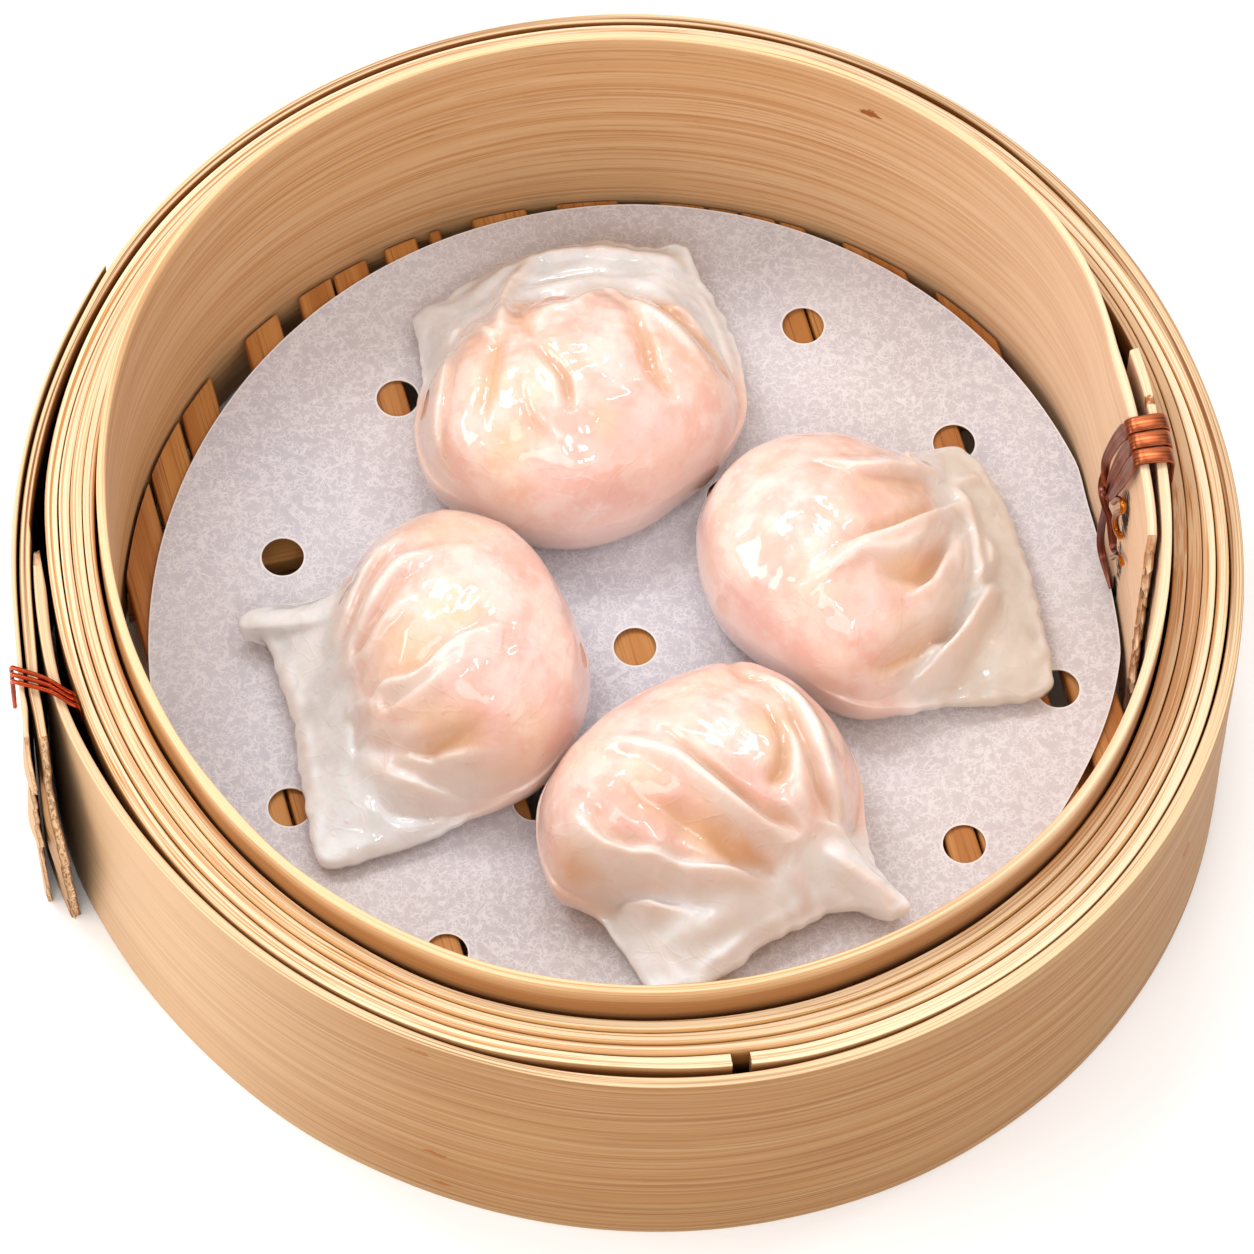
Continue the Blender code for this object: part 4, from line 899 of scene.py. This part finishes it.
def paper_grid(centre):
    """Even points over the sheet, clear of its edge, the hoop and the holes."""
    across = np.arange(-66.0, 72.0, PAPER_MESH)
    x, y = np.meshgrid(across, across)
    x = x + PAPER_MESH / 2 * (np.arange(len(across)) % 2)[:, None]
    inside = np.stack([x.ravel(), y.ravel()], -1)
    out = inside - centre
    kept = (np.hypot(out[:, 0] / (PAPER_SIZE[0] - 2.0), out[:, 1] / (PAPER_SIZE[1] - 2.0))
            < 1.0 - paper_trim(np.arctan2(out[:, 1], out[:, 0])))
    wall = bore_at(np.degrees(np.arctan2(inside[:, 1], inside[:, 0]))) - WALL_GAP - 1.5
    kept &= np.hypot(inside[:, 0], inside[:, 1]) < wall
    for hole in HOLES:
        kept &= np.hypot(inside[:, 0] - hole[0], inside[:, 1] - hole[1]) > HOLE_RADIUS + 1.2
    return inside[kept]


def make_paper(looks):
    """One thin sheet with round holes, cut back where the hoop stands in its way."""
    turn = np.linspace(0.0, 2 * math.pi, 360, endpoint=False)
    x = PAPER_CENTRE[0] + PAPER_SIZE[0] * np.cos(turn)
    y = PAPER_CENTRE[1] + PAPER_SIZE[1] * np.sin(turn)
    limit = bore_at(np.degrees(np.arctan2(y, x))) - WALL_GAP
    scale = np.minimum(1.0, limit / np.hypot(x, y))
    centre = np.array(PAPER_CENTRE)
    trim = paper_trim(turn)[:, None]
    outline = centre + (np.stack([x * scale, y * scale], -1) - centre) * (1.0 - trim)
    inset = centre + (outline - centre) * (1.0 - PAPER_RIM / 66.0)
    circle = round_section(1.0, 48)
    loops = [outline] + [np.array(hole) + circle * HOLE_RADIUS for hole in HOLES]
    bands = [inset] + [np.array(hole) + circle * (HOLE_RADIUS + HOLE_RIM) for hole in HOLES]
    inside = paper_grid(centre)
    flat, edges = [], []
    for loop in loops + bands:
        first = len(flat)
        flat += [tuple(p) for p in loop]
        edges += [(first + k, first + (k + 1) % len(loop)) for k in range(len(loop))]
    rims = sum(len(loop) for loop in loops)
    flat += [tuple(p) for p in inside]
    result = delaunay_2d_cdt([Vector(p) for p in flat], edges, [], 0, 1e-6)
    points = np.array([tuple(v) for v in result[0]])
    # rim marks the sheet's edge and the edges of its holes, which the paper's look paints as a highlight
    rim = np.array([1.0 if source and min(source) < rims else 0.0 for source in result[3]])
    order = np.array([min(source) if source else -1 for source in result[3]])
    faces = []
    for face in result[2]:
        middle = points[list(face)].mean(0)
        if any(math.hypot(*(middle - hole)) < HOLE_RADIUS * 0.998 for hole in HOLES):
            continue
        if len([1 for k in face if 0 <= order[k] < len(outline)]) == 3:
            continue
        faces.append(tuple(face))
    lift = (0.12 * waver(points[:, 0], points[:, 1], 38.0, 5)
            + 0.03 * waver(points[:, 0], points[:, 1], 9.0, 6))
    top = np.column_stack([points, PAPER_TOP - SHEET_TOP + lift])
    low = np.column_stack([points, PAPER_TOP - SHEET_FOOT + lift])
    count = len(points)
    sides = []
    where = {int(k): i for i, k in enumerate(order) if k >= 0}
    first = 0
    for loop in loops:
        for k in range(len(loop)):
            a, b = where[first + k], where[first + (k + 1) % len(loop)]
            sides.append((a, b, b + count, a + count))
        first += len(loop)
    faces = faces + [tuple(k + count for k in reversed(face)) for face in faces] + sides
    make_piece("liner_sheet", np.vstack([top, low]), faces, looks["paper"], ("paper_liner",),
               {"rim": np.concatenate([rim, rim])}, sharp=40)


def between(knots, samples):
    """Catmull-Rom steps from the second of four knots towards the third."""
    a, b, c, d = knots
    return [0.5 * (2 * b + (c - a) * t + (2 * a - 5 * b + 4 * c - d) * t * t
                   + (3 * b - a - 3 * c + d) * t ** 3) for t in (j / samples for j in range(samples))]


def edge_loop(knots, samples):
    """A smooth closed edge through the knots."""
    table = np.array(knots, float)
    rows = []
    for k in range(len(table)):
        rows += between([table[(k + step) % len(table)] for step in (-1, 0, 1, 2)], samples)
    return np.array(rows)


def smooth_path(places, samples):
    """A smooth open line through the rows, each of them x, y, z and maybe a scale."""
    table = np.array(places, float)
    table = np.vstack([2 * table[0] - table[1], table, 2 * table[-1] - table[-2]])
    rows = []
    for k in range(1, len(table) - 2):
        rows += between(table[k - 1:k + 3], samples)
    return np.array(rows + [table[-2]])


def smooth_max(a, b, blend):
    """The larger of the two, with the corner between them rounded off."""
    mix = np.clip(0.5 + 0.5 * (a - b) / blend, 0.0, 1.0)
    return b + (a - b) * mix + blend * mix * (1.0 - mix)


def body_height(share, radius, edge, belly, height):
    """Height of the skin over the paper: a plump belly running out into a thin flange."""
    inside = np.clip(share / belly, 0.0, 1.0)
    dome = edge + (height - edge) * np.sqrt(1.0 - inside ** DOME_POWER)
    dome = np.where(share < belly, dome, edge - 16.0 * (share / belly - 1.0))
    wide = (1.0 - belly) * radius
    grown = smooth_step(wide / 7.0)
    away = (1.0 - share) * radius / np.maximum(wide, 1.5)
    skirt = edge + FLANGE_HALF * grown + NECK_RISE * grown * np.clip(away, 0.0, 1.25) ** 1.4
    full = smooth_max(dome, skirt, NECK_BLEND)
    turn = np.clip((1.0 - share) * radius / (0.9 + 1.5 * (1.0 - grown)), 0.0, 1.0)
    return edge + (full - edge) * np.sqrt(1.0 - (1.0 - turn) ** 2)


def even_out(values, reach):
    """Smooths values that run round a closed edge."""
    steps = np.arange(-3 * reach, 3 * reach + 1)
    weights = np.exp(-(steps / reach) ** 2 / 2)
    return sum(w * np.roll(values, int(k)) for w, k in zip(weights / weights.sum(), steps))


def fold_height(x, y, fold):
    """Height of one fold: the mesh rises or sinks along its line, with its own width on each side."""
    left, right, places = fold
    line = smooth_path(places, 5)
    added = np.zeros(x.shape)
    margin = 2.6 * max(left, right)
    near = ((x > line[:, 0].min() - margin) & (x < line[:, 0].max() + margin)
            & (y > line[:, 1].min() - margin) & (y < line[:, 1].max() + margin))
    near_x, near_y = x[near], y[near]
    best = np.full(near_x.shape, 1e9)
    rise, side = np.zeros(near_x.shape), np.zeros(near_x.shape)
    for start, end in zip(line, line[1:]):
        run = end - start
        length = max(float(run[:2] @ run[:2]), 1e-9)
        u = np.clip(((near_x - start[0]) * run[0] + (near_y - start[1]) * run[1]) / length, 0.0, 1.0)
        far = np.hypot(near_x - start[0] - u * run[0], near_y - start[1] - u * run[1])
        closer = far < best
        best = np.where(closer, far, best)
        rise = np.where(closer, start[2] + u * run[2], rise)
        side = np.where(closer, run[0] * (near_y - start[1]) - run[1] * (near_x - start[0]), side)
    width = np.where(side > 0, left, right)
    added[near] = rise * np.exp(-(best / width) ** 2)
    return added


def mound(x, y, place, size):
    """One over the place, fading out round it."""
    return np.exp(-((x - place[0]) ** 2 + (y - place[1]) ** 2) / size ** 2)


def make_dumpling(node, spec, look, seed):
    """Rows of skin from the top out to the edge and back underneath to the foot."""
    edge = edge_loop(spec["edge"], EDGE_STEPS)
    count = len(edge)
    belly = even_out(np.minimum(edge[:, 3], 1.0), 9)
    edge[:, 2] = even_out(edge[:, 2], 9)
    thin = smooth_step((1.0 - belly) / 0.14)
    centre = np.array(spec["middle"])
    out = edge[:, :2] - centre
    span = np.hypot(out[:, 0], out[:, 1])
    trim = (thin * (0.22 * waver(edge[:, 0], edge[:, 1], 3.2, seed, 9) - 0.05) / span)[:, None]
    # Rows run from the middle to a rounder loop, and take on the corners of the edge further out
    rounder = np.stack([even_out(out[:, 0], 14), even_out(out[:, 1], 14)], -1)

    def place(share):
        corner = smooth_step((share - 0.5) / 0.5)
        ruffle = smooth_step((share - 0.86) / 0.14)
        return [centre[k] + share * rounder[:, k] + corner * (out * (1.0 + trim) - rounder)[:, k]
                - (1.0 - ruffle) * corner * (out * trim)[:, k] for k in (0, 1)]

    share = (1.0 - (1.0 - np.arange(SKIN_ROWS + 1) / SKIN_ROWS) ** 1.25)[:, None]
    x, y = place(share)
    span = even_out(span, 6)
    swept = np.minimum(even_out(belly * span, 12), span) / span
    z = body_height(share, span, edge[:, 2], swept, spec["height"])
    fade = smooth_step((1.0 - share) * span / 2.5)
    # valley keeps how deep the folds sink, where the skin's look paints shade; crest keeps how high they
    # rise, where it paints a highlight
    crest, valley = np.zeros(z.shape), np.zeros(z.shape)
    for fold in spec["folds"]:
        added = fold_height(x, y, fold)
        z = z + fade * added
        crest = np.maximum(crest, added)
        valley = np.maximum(valley, -added)
    for *spot, size, much in spec["swells"]:
        z = z + fade * much * mound(x, y, spot, size)
    inner = smooth_step((1.0 - share) * span / 1.5)
    z = z + inner * (0.16 * waver(x, y, 7.5, seed + 1) + 0.05 * waver(x, y, 2.6, seed + 2, 11))
    z = z + thin * (1.0 - smooth_step((1.0 - share) * span / 5.0)) * 0.18 * waver(x, y, 4.0, seed + 3, 9)
    filling = 1.0 - smooth_step((share - 0.80 * belly) / (0.24 * belly))
    filling = 1.0 - (1.0 - filling) * thin
    # low is near one by the edge, where the skin's look paints the belly lighter
    low = np.clip(1.0 - (z - edge[:, 2]) / 6.0, 0.0, 1.0)
    marks = {"filling": filling, "crest": crest, "valley": valley, "low": low}
    for key in ("warm", "rose"):
        glow = np.zeros(z.shape)
        for *spot, size, much in spec[key]:
            glow = np.maximum(glow, much * mound(x, y, spot, size))
        marks[key] = glow
    under_share = np.concatenate([1.0 - 0.2 * (np.arange(1, 15) / 14) ** 1.6, (0.6, 0.3, 0.0)])[:, None]
    inset = np.minimum((1.0 - under_share) / 0.2, 1.0)
    under = (edge[:, 2] - FLANGE_HALF) * (1.0 - np.sqrt(1.0 - (1.0 - inset) ** 2))
    ux, uy = place(under_share)
    points = np.vstack([np.stack([x, y, FOOD_Z + z], -1).reshape(-1, 3),
                        np.stack([ux, uy, FOOD_Z + np.maximum(under, 0.0)], -1).reshape(-1, 3)])
    values = {}
    for key, data in marks.items():
        data = np.broadcast_to(data, z.shape)
        below = np.repeat(data[-1:], len(under_share), 0)
        values[key] = np.concatenate([data.ravel(), below.ravel()])
    # Merge the repeated middle points into one at the top and one at the foot
    total = (SKIN_ROWS + 1 + len(under_share)) * count
    keep = np.concatenate([[0], np.arange(count, total - count), [total - 1]])
    points = points[keep]
    values = {key: data[keep] for key, data in values.items()}
    levels = SKIN_ROWS + len(under_share) - 1
    faces = (grid_faces(levels, count) + 1).tolist()
    faces += [(0, 1 + k, 1 + (k + 1) % count) for k in range(count)]
    last = len(points) - 1
    ring = 1 + (levels - 1) * count
    faces += [(last, ring + (k + 1) % count, ring + k) for k in range(count)]
    make_piece(f"{node}_body", points, faces, look, (node,), values)


def sweep(node, path, section, look, outward):
    """Carry a closed section (side, lift) along a path."""
    places = path[:, :3]
    run = np.gradient(places, axis=0)
    run /= np.linalg.norm(run, axis=1, keepdims=True)
    lift = outward(places)
    lift = lift - run * (lift * run).sum(1, keepdims=True)
    lift /= np.linalg.norm(lift, axis=1, keepdims=True)
    across = np.cross(run, lift)
    length = np.concatenate([[0.0], np.cumsum(np.linalg.norm(np.diff(places, axis=0), axis=1))])
    side, up = section[:, 0][None, :, None], section[:, 1][None, :, None]
    points = places[:, None] + across[:, None] * side * path[:, 3][:, None, None] + lift[:, None] * up
    size = len(section)
    faces = grid_faces(len(path), size).tolist()
    faces += [list(range(size)), list(range((len(path) - 1) * size, len(path) * size))]
    grain = np.stack([np.broadcast_to(length[:, None], points.shape[:2]),
                      np.broadcast_to(section[:, 0], points.shape[:2]),
                      np.broadcast_to(section[:, 1], points.shape[:2])], -1)
    make_piece(f"{node}_tie", points.reshape(-1, 3), faces, look, (node,),
               {"grain": grain.reshape(-1, 3)}, sharp=60)


def flat_section(width, thick, soft):
    """A flat strip's section, with rounded corners."""
    return np.array(rounded_box(-width / 2, width / 2, -thick / 2, thick / 2, soft))


def round_section(radius, sides=14):
    turn = np.linspace(0.0, 2 * math.pi, sides, endpoint=False)
    return radius * np.stack([np.cos(turn), np.sin(turn)], -1)


def polar(angle, radius, z, scale=1.0):
    """A row of a path, from its angle round the basket."""
    turn = math.radians(float(angle))
    return (float(radius) * math.cos(turn), float(radius) * math.sin(turn), float(z), scale)


def from_lip(places):
    """Away from the core of the hoop that the straps go over, turning upwards as they drop inside it."""
    angle = np.arctan2(places[:, 1], places[:, 0])
    core = np.stack([LIP_CORE * np.cos(angle), LIP_CORE * np.sin(angle),
                     np.minimum(LIP_Z - 2.5, places[:, 2])], -1)
    away = places - core
    away /= np.linalg.norm(away, axis=1, keepdims=True)
    inside = np.hypot(places[:, 0], places[:, 1]) < LIP_CORE - 0.9
    turn = (smooth_step((LIP_Z - 2.0 - places[:, 2]) / 8.0) * inside)[:, None]
    return away * (1.0 - turn) + turn * np.array(TIE_FACE)


def inward(places):
    return -places * (1.0, 1.0, 0.0)


def upwards(places):
    return np.broadcast_to(TIE_FACE, places.shape)


def on_bore(rows):
    """Points on the inner hoop's bore, each row an angle, a height, an inset and a width."""
    return [polar(angle, bore_at(angle) - inset, z, wide) for angle, z, inset, wide in rows]


def make_ties(looks):
    """Straps over the rim with their tails and hooks, and the wire that stitches the flap."""
    for number, (start, drop) in enumerate(zip(STRAP_ANGLES, STRAP_DROPS), 1):
        outer = curve(LIP_OUT, start + 360.0) + 0.7
        inner = bore_at(start) - 0.5
        path = [polar(start, outer, 46.8), polar(start, outer, 50.8), polar(start, outer - 0.15, 52.1),
                polar(start, outer - 1.1, 52.66), polar(start, inner + 1.3, 52.66),
                polar(start + 0.1, inner + 0.25, 52.1), polar(start + 0.2, inner, 51.0)]
        sweep(f"strap_{number}", smooth_path(path + on_bore(drop), 7),
              flat_section(STRAP_WIDTH, STRAP_THICK, 0.2), looks["strap"], from_lip)
    for node, rows in TAILS.items():
        sweep(node, smooth_path(on_bore(rows), 6), flat_section(TAIL_WIDTH, TAIL_THICK, 0.18), looks["tail"],
              upwards)
    for node, radius, rows in HOOKS:
        sweep(node, smooth_path(on_bore(rows), 8), round_section(radius), looks["gold"],
              inward)
    for number, start in enumerate(STRAND_STARTS, 1):
        outer = curve(SKIN_OUT, start) + 0.75
        rows = [(0.0, outer, 37.0), (0.0, outer, 42.5), (0.02, outer - 0.1, 44.1), (0.14, outer - 0.8, 44.75),
                (0.5, 79.0, 45.1), (0.86, 76.9, 44.75), (0.98, 76.02, 44.0), (1.0, 75.96, 41.0)]
        path = [polar(start + STRAND_SWING * t, radius, z) for t, radius, z in rows]
        sweep(f"strand_{number}", smooth_path(path, 8), round_section(STRAND_RADIUS, 10), looks["wire"],
              lambda places: places * (1.0, 1.0, 0.0) + (0.0, 0.0, 60.0))


def tint(red, green, blue):
    """A colour from 0 to 255 as it looks under the studio light, turned into the light it gives back."""
    return tuple(STUDIO * ((c / 255 + 0.055) / 1.055) ** 2.4 for c in (red, green, blue))


def bamboo_look(name, face, line, broad, rim, painted_side_shading=None, knots=(), painted_shadows=(), gloss=0.42):
    """Split bamboo: long fibres along the strip, slow changes of tone, pale cut edges and small knots.

    With the side shading given, the strip turns to a shade colour by its distance from a middle place along
    the grain, as painted light and shade on one side of the basket: (middle, near, far, shade).
    """
    mixed = Finish(name, {"Specular IOR Level": 0.22})
    grain = mixed.place("grain")
    cut, painted_shade = mixed.value("cut"), mixed.value("painted_shade")
    bands = mixed.noise(grain, (0.006, 0.5, 0.7), 3.0, 0.7)
    fine = mixed.noise(grain, (0.011, 1.7, 2.6), 2.0, 0.65, (4.0, 0.3, 0.0))
    streak = mixed.noise(grain, (0.009, 1.1, 1.9), 2.0, 0.6, (0.0, 7.3, 1.0))
    hair = mixed.noise(grain, (0.04, 5.2, 5.6), 2.0)
    cloud = mixed.noise(grain, (0.03, 0.09, 0.1), 2.0)
    colour = mixed.mix(bands.rise(0.38, 0.62), face, broad)
    colour = mixed.mix(fine.rise(0.47, 0.64) * 0.55, colour, line)
    colour = mixed.mix(streak.rise(0.56, 0.68) * 0.65, colour, line)
    colour = mixed.mix(hair.rise(0.52, 0.74) * 0.4, colour, line)
    colour = mixed.mix(cloud.rise(0.35, 0.75) * 0.3, colour, broad)
    speck = mixed.noise(grain, (0.22, 2.6, 2.0), 1.0).rise(0.72, 0.80)
    colour = mixed.mix(speck * 0.5, colour, tint(130, 82, 40))
    pale = mixed.mix(fine.rise(0.46, 0.62) * 0.7 + streak.rise(0.56, 0.66) * 0.5, rim, line)
    colour = mixed.mix(cut.rise(0.35, 0.95), colour, pale)
    # Painted light and shade by where the strip stands round the basket
    if painted_side_shading:
        middle, near, far, shade = painted_side_shading
        away = abs(mixed.part(grain, 0) - middle).rise(near, far)
        colour = mixed.mix(away * (0.62 - fine * 0.2), colour, shade)
    crumble = mixed.noise(grain, (0.7, 0.9, 0.9), 2.0, 0.7)
    # Knots in brown; near-black painted shadow where the ties stand off the bore
    for marks, shade in ((knots, tint(164, 94, 32)), (painted_shadows, tint(26, 14, 8))):
        for arc, z, wide, tall in marks:
            across = (mixed.part(grain, 0) - arc) / wide
            up = (mixed.part(grain, 1) - z) / tall
            spot = (across * across + up * up + crumble * 3.0).rise(2.4, 1.8)
            colour = mixed.mix(spot, colour, shade)
    # Painted shade on faces that lie against the next strip: brown, then nearly black further down
    colour = mixed.mix(painted_shade.rise(0.0, 0.3) * 0.8, colour, tint(160, 96, 38))
    colour = mixed.mix(painted_shade.rise(0.45, 1.0), colour, tint(48, 28, 14))
    rough = gloss + fine * 0.18
    relief = fine * 0.8 + streak * 0.6
    return mixed.wear(colour, rough, relief, 0.00012, 0.5)


def slat_look():
    """Darker floor bamboo; each bar has its own tone."""
    mixed = Finish("floor_bamboo", {"Specular IOR Level": 0.35})
    grain = mixed.place("grain")
    tone = mixed.value("tone")
    fine = mixed.noise(grain, (0.03, 1.0, 2.4), 3.0, 0.6)
    slow = mixed.noise(grain, (0.02, 0.3, 0.4), 2.0)
    colour = mixed.mix(tone, tint(212, 144, 72), tint(182, 112, 48))
    colour = mixed.mix(slow.rise(0.4, 0.7) * 0.5, colour, tint(226, 162, 92))
    colour = mixed.mix(fine.rise(0.5, 0.7) * 0.7, colour, tint(138, 78, 28))
    return mixed.wear(colour, 0.5 + fine * 0.2, fine, 0.0002, 0.6)


def paper_look():
    """Thin steaming paper, its curly fibres paler than the sheet."""
    mixed = Finish("steaming_paper", {"Specular IOR Level": 0.2})
    place = mixed.place()
    strands = None
    broken = mixed.noise(place, 640.0, 1.0).rise(0.3, 0.5)
    for number, (scale, width) in enumerate(((330.0, 0.028), (480.0, 0.034), (660.0, 0.042), (900.0, 0.05))):
        shift = (0.31 * number, 0.17 * number, 0.0)
        curl = mixed.noise(place, scale, 1.0, 0.4, shift, 0.9)
        strand = curl.line(0.5, width) * broken
        strands = strand if strands is None else strands.sum("MAXIMUM", strands, strand)
    cloud = mixed.noise(place, 45.0, 3.0, 0.6)
    tinge = mixed.noise(place, 14.0, 1.0, 0.5, (0.6, 0.2, 0.0))
    grit = mixed.noise(place, 1500.0, 2.0, 0.6)
    colour = mixed.mix(cloud.rise(0.35, 0.65), tint(214, 212, 222), tint(226, 222, 228))
    colour = mixed.mix(tinge.rise(0.5, 0.66) * 0.5, colour, tint(232, 218, 212))
    colour = mixed.mix(grit * 0.3, colour, tint(204, 202, 212))
    colour = mixed.mix(strands * 0.75, colour, tint(250, 248, 252))
    # Painted highlight: a white line along the sheet's edge and round its holes
    colour = mixed.mix(mixed.value("rim").rise(0.2, 0.7), colour, tint(252, 250, 250))
    return mixed.wear(colour, 0.75 + cloud * 0.1, grit * 0.2, 0.00008, 0.5)


def skin_look():
    """Steamed wheat-starch skin, glossy and wet, with the filling showing pink through it."""
    fixed = {"Subsurface Weight": 0.5, "Subsurface Radius": (1.0, 0.6, 0.45), "Subsurface Scale": 0.0028,
             "Coat Weight": 1.0, "Coat Roughness": 0.035, "Coat IOR": 1.6,
             "IOR": 1.4, "Specular IOR Level": 0.12}
    mixed = Finish("wet_skin", fixed)
    place = mixed.place()
    filling, crest = mixed.value("filling"), mixed.value("crest")
    valley, low = mixed.value("valley"), mixed.value("low")
    warm, rose = mixed.value("warm"), mixed.value("rose")
    mottle = mixed.noise(place, 170.0, 3.0, 0.6)
    flecks = mixed.noise(place, 620.0, 2.0, 0.6)
    cloud = mixed.noise(place, 75.0, 2.0, 0.5, (3.1, 1.7, 0.4))
    belly = mixed.mix(mottle.rise(0.38, 0.62), tint(248, 200, 186), tint(254, 226, 216))
    belly = mixed.mix(cloud.rise(0.45, 0.7) * 0.5, belly, tint(252, 216, 190))
    belly = mixed.mix(flecks.rise(0.55, 0.75) * 0.4, belly, tint(255, 240, 232))
    belly = mixed.mix(rose * (0.5 + mottle * 0.6), belly, tint(247, 184, 168))
    belly = mixed.mix(warm * 0.65, belly, tint(246, 212, 166))
    wrapper = mixed.mix(mottle.rise(0.35, 0.65), tint(238, 240, 242), tint(254, 256, 258))
    # Painted light: the wrapper is painted whiter towards the front of the basket
    wrapper = mixed.mix(mixed.part(place, 1).rise(-0.018, -0.045) * 0.9, wrapper, tint(272, 280, 288))
    # Painted shade: the wrapper is painted darker and warmer far to the right of the basket
    wrapper = mixed.mix(mixed.part(place, 0).rise(0.034, 0.05) * 0.7, wrapper, tint(226, 214, 198))
    wrapper = mixed.mix(warm * 0.35, wrapper, tint(244, 228, 196))
    colour = mixed.mix(filling, wrapper, belly)
    # Painted shade: fold valleys painted orange-tan, most on the belly
    colour = mixed.mix((valley * 0.5).limit() * (0.3 + filling * 0.7), colour, tint(240, 188, 144))
    # Painted highlight: fold crests painted paler
    colour = mixed.mix((crest * 0.6).limit() * 0.85, colour, tint(250, 236, 228))
    # Painted light: the belly painted lighter low down near the edge
    colour = mixed.mix(low.rise(0.3, 1.0) * filling * 0.6, colour, tint(255, 228, 218))
    pores = mixed.noise(place, 520.0, 2.0, 0.6)
    swell = mixed.noise(place, 190.0, 1.0, 0.5, (1.1, 0.0, 2.0))
    tight = mixed.noise(place, 120.0, 1.0, 0.4, (0.0, 2.2, 5.0), 0.7)
    wrinkle = tight.line(0.5, 0.03) * 0.5 + swell.line(0.52, 0.025) * 0.4
    beads = mixed.cells(place, 300.0).rise(0.14, 0.0)
    rough = 0.28 + flecks * 0.12
    relief = pores * 0.5 + swell * 1.2 + wrinkle * 0.3 + beads * 0.45
    return mixed.wear(colour, rough, relief, 0.00035, 0.55)


def metal_look(name, bright, dull, rough):
    """Worn metal, streaked along its length."""
    mixed = Finish(name, {"Metallic": 1.0})
    grain = mixed.place("grain")
    streak = mixed.noise(grain, (0.08, 4.0, 2.0), 3.0, 0.6)
    spots = mixed.noise(grain, (0.3, 0.5, 0.5), 2.0)
    colour = mixed.mix(streak.rise(0.4, 0.7) * 0.8, bright, dull)
    colour = mixed.mix(spots.rise(0.45, 0.7) * 0.5, colour, dull)
    return mixed.wear(colour, rough + streak * 0.15, streak, 0.00005, 0.4)


def floor_look():
    mixed = Finish("pale_table", {"Specular IOR Level": 0.1})
    place = mixed.place()
    soft = mixed.noise(place, 3.0, 2.0)
    colour = mixed.mix(soft, (0.94, 0.94, 0.94), (0.98, 0.98, 0.98))
    return mixed.wear(colour, 0.85 + soft * 0.05)


def make_table():
    half = TABLE_HALF
    mesh = bpy.data.meshes.new("table_top")
    corners = [(-half, -half, 0), (half, -half, 0), (half, half, 0), (-half, half, 0)]
    mesh.from_pydata(corners, [], [(0, 1, 2, 3)])
    mesh.materials.append(floor_look())
    table = bpy.data.objects.new("table_top", mesh)
    table.location.z = -TABLE_DROP
    bpy.context.scene.collection.objects.link(table)


def soft_light(name, toward, distance, size, power):
    light = bpy.data.lights.new(name, "AREA")
    light.shape = "RECTANGLE"
    light.size, light.size_y = size
    light.energy = power
    lamp = bpy.data.objects.new(name, light)
    direction = Vector(toward).normalized()
    lamp.location = direction * distance
    lamp.rotation_euler = direction.to_track_quat("Z", "Y").to_euler()
    bpy.context.scene.collection.objects.link(lamp)


def set_studio():
    scene = bpy.context.scene
    world = bpy.data.worlds.new("studio")
    world.use_nodes = True
    sky = world.node_tree.nodes["Background"].inputs
    sky["Color"].default_value = SKY
    sky["Strength"].default_value = SKY_STRENGTH
    scene.world = world
    for light in LIGHTS:
        soft_light(*light)
    scene.view_settings.view_transform = "Standard"
    camera = bpy.data.cameras.new("camera")
    camera.sensor_width = 36.0
    camera.lens = LENS
    camera.shift_x, camera.shift_y = -0.0057, -0.0051
    camera.clip_start, camera.clip_end = 0.05, 20.0
    view = bpy.data.objects.new("camera", camera)
    look = (Vector(AIM) - Vector(EYE)).to_track_quat("-Z", "Y").to_matrix().to_4x4()
    view.matrix_world = Matrix.Translation(EYE) @ look @ Matrix.Rotation(math.radians(ROLL), 4, "Z")
    scene.collection.objects.link(view)
    scene.camera = view


def make_looks():
    return {
        # Painted light: the wall's left side is paler where the light falls on it
        "wall": bamboo_look("outer_bamboo", tint(186, 144, 94), tint(146, 88, 38), tint(174, 124, 70),
                            tint(248, 212, 168), (262.0, 72.0, 22.0, tint(242, 202, 160)), WALL_KNOTS),
        # Painted light: the bore is paler towards the right, where the light falls on it
        "lip": bamboo_look("inner_bamboo", tint(234, 192, 144), tint(192, 130, 74), tint(224, 174, 120),
                           tint(246, 210, 162), (235.0, 130.0, 215.0, tint(264, 230, 198)),
                           # Near-black painted shadows behind the ties
                           LIP_KNOTS, LIP_PAINTED_SHADOWS),
        "rim": bamboo_look("strip_bamboo", tint(242, 190, 130), tint(204, 136, 70), tint(246, 200, 142),
                           tint(258, 230, 192)),
        # Painted shade: the inner rings are darker on the right, where the inner hoop shades them
        "rim_in": bamboo_look("inner_strip_bamboo", tint(240, 188, 126), tint(200, 130, 64),
                              tint(244, 196, 134), tint(258, 228, 186),
                              (235.0, 90.0, 20.0, tint(176, 106, 40))),
        "slat": slat_look(),
        "paper": paper_look(),
        "skin": skin_look(),
        "strap": metal_look("copper_strap", tint(196, 108, 68), tint(96, 40, 22), 0.22),
        "tail": metal_look("dark_twist", tint(150, 88, 70), tint(76, 38, 30), 0.22),
        "gold": metal_look("gold_wire", tint(238, 152, 50), tint(120, 60, 14), 0.16),
        "wire": metal_look("copper_wire", tint(216, 84, 44), tint(112, 34, 14), 0.14),
    }


def main():
    looks = make_looks()
    make_hoops(looks)
    make_floor_bars(looks)
    make_paper(looks)
    for number, (node, spec) in enumerate(DUMPLINGS.items()):
        make_dumpling(node, spec, looks["skin"], 400 + 20 * number)
    make_ties(looks)
    make_table()
    set_studio()


main()
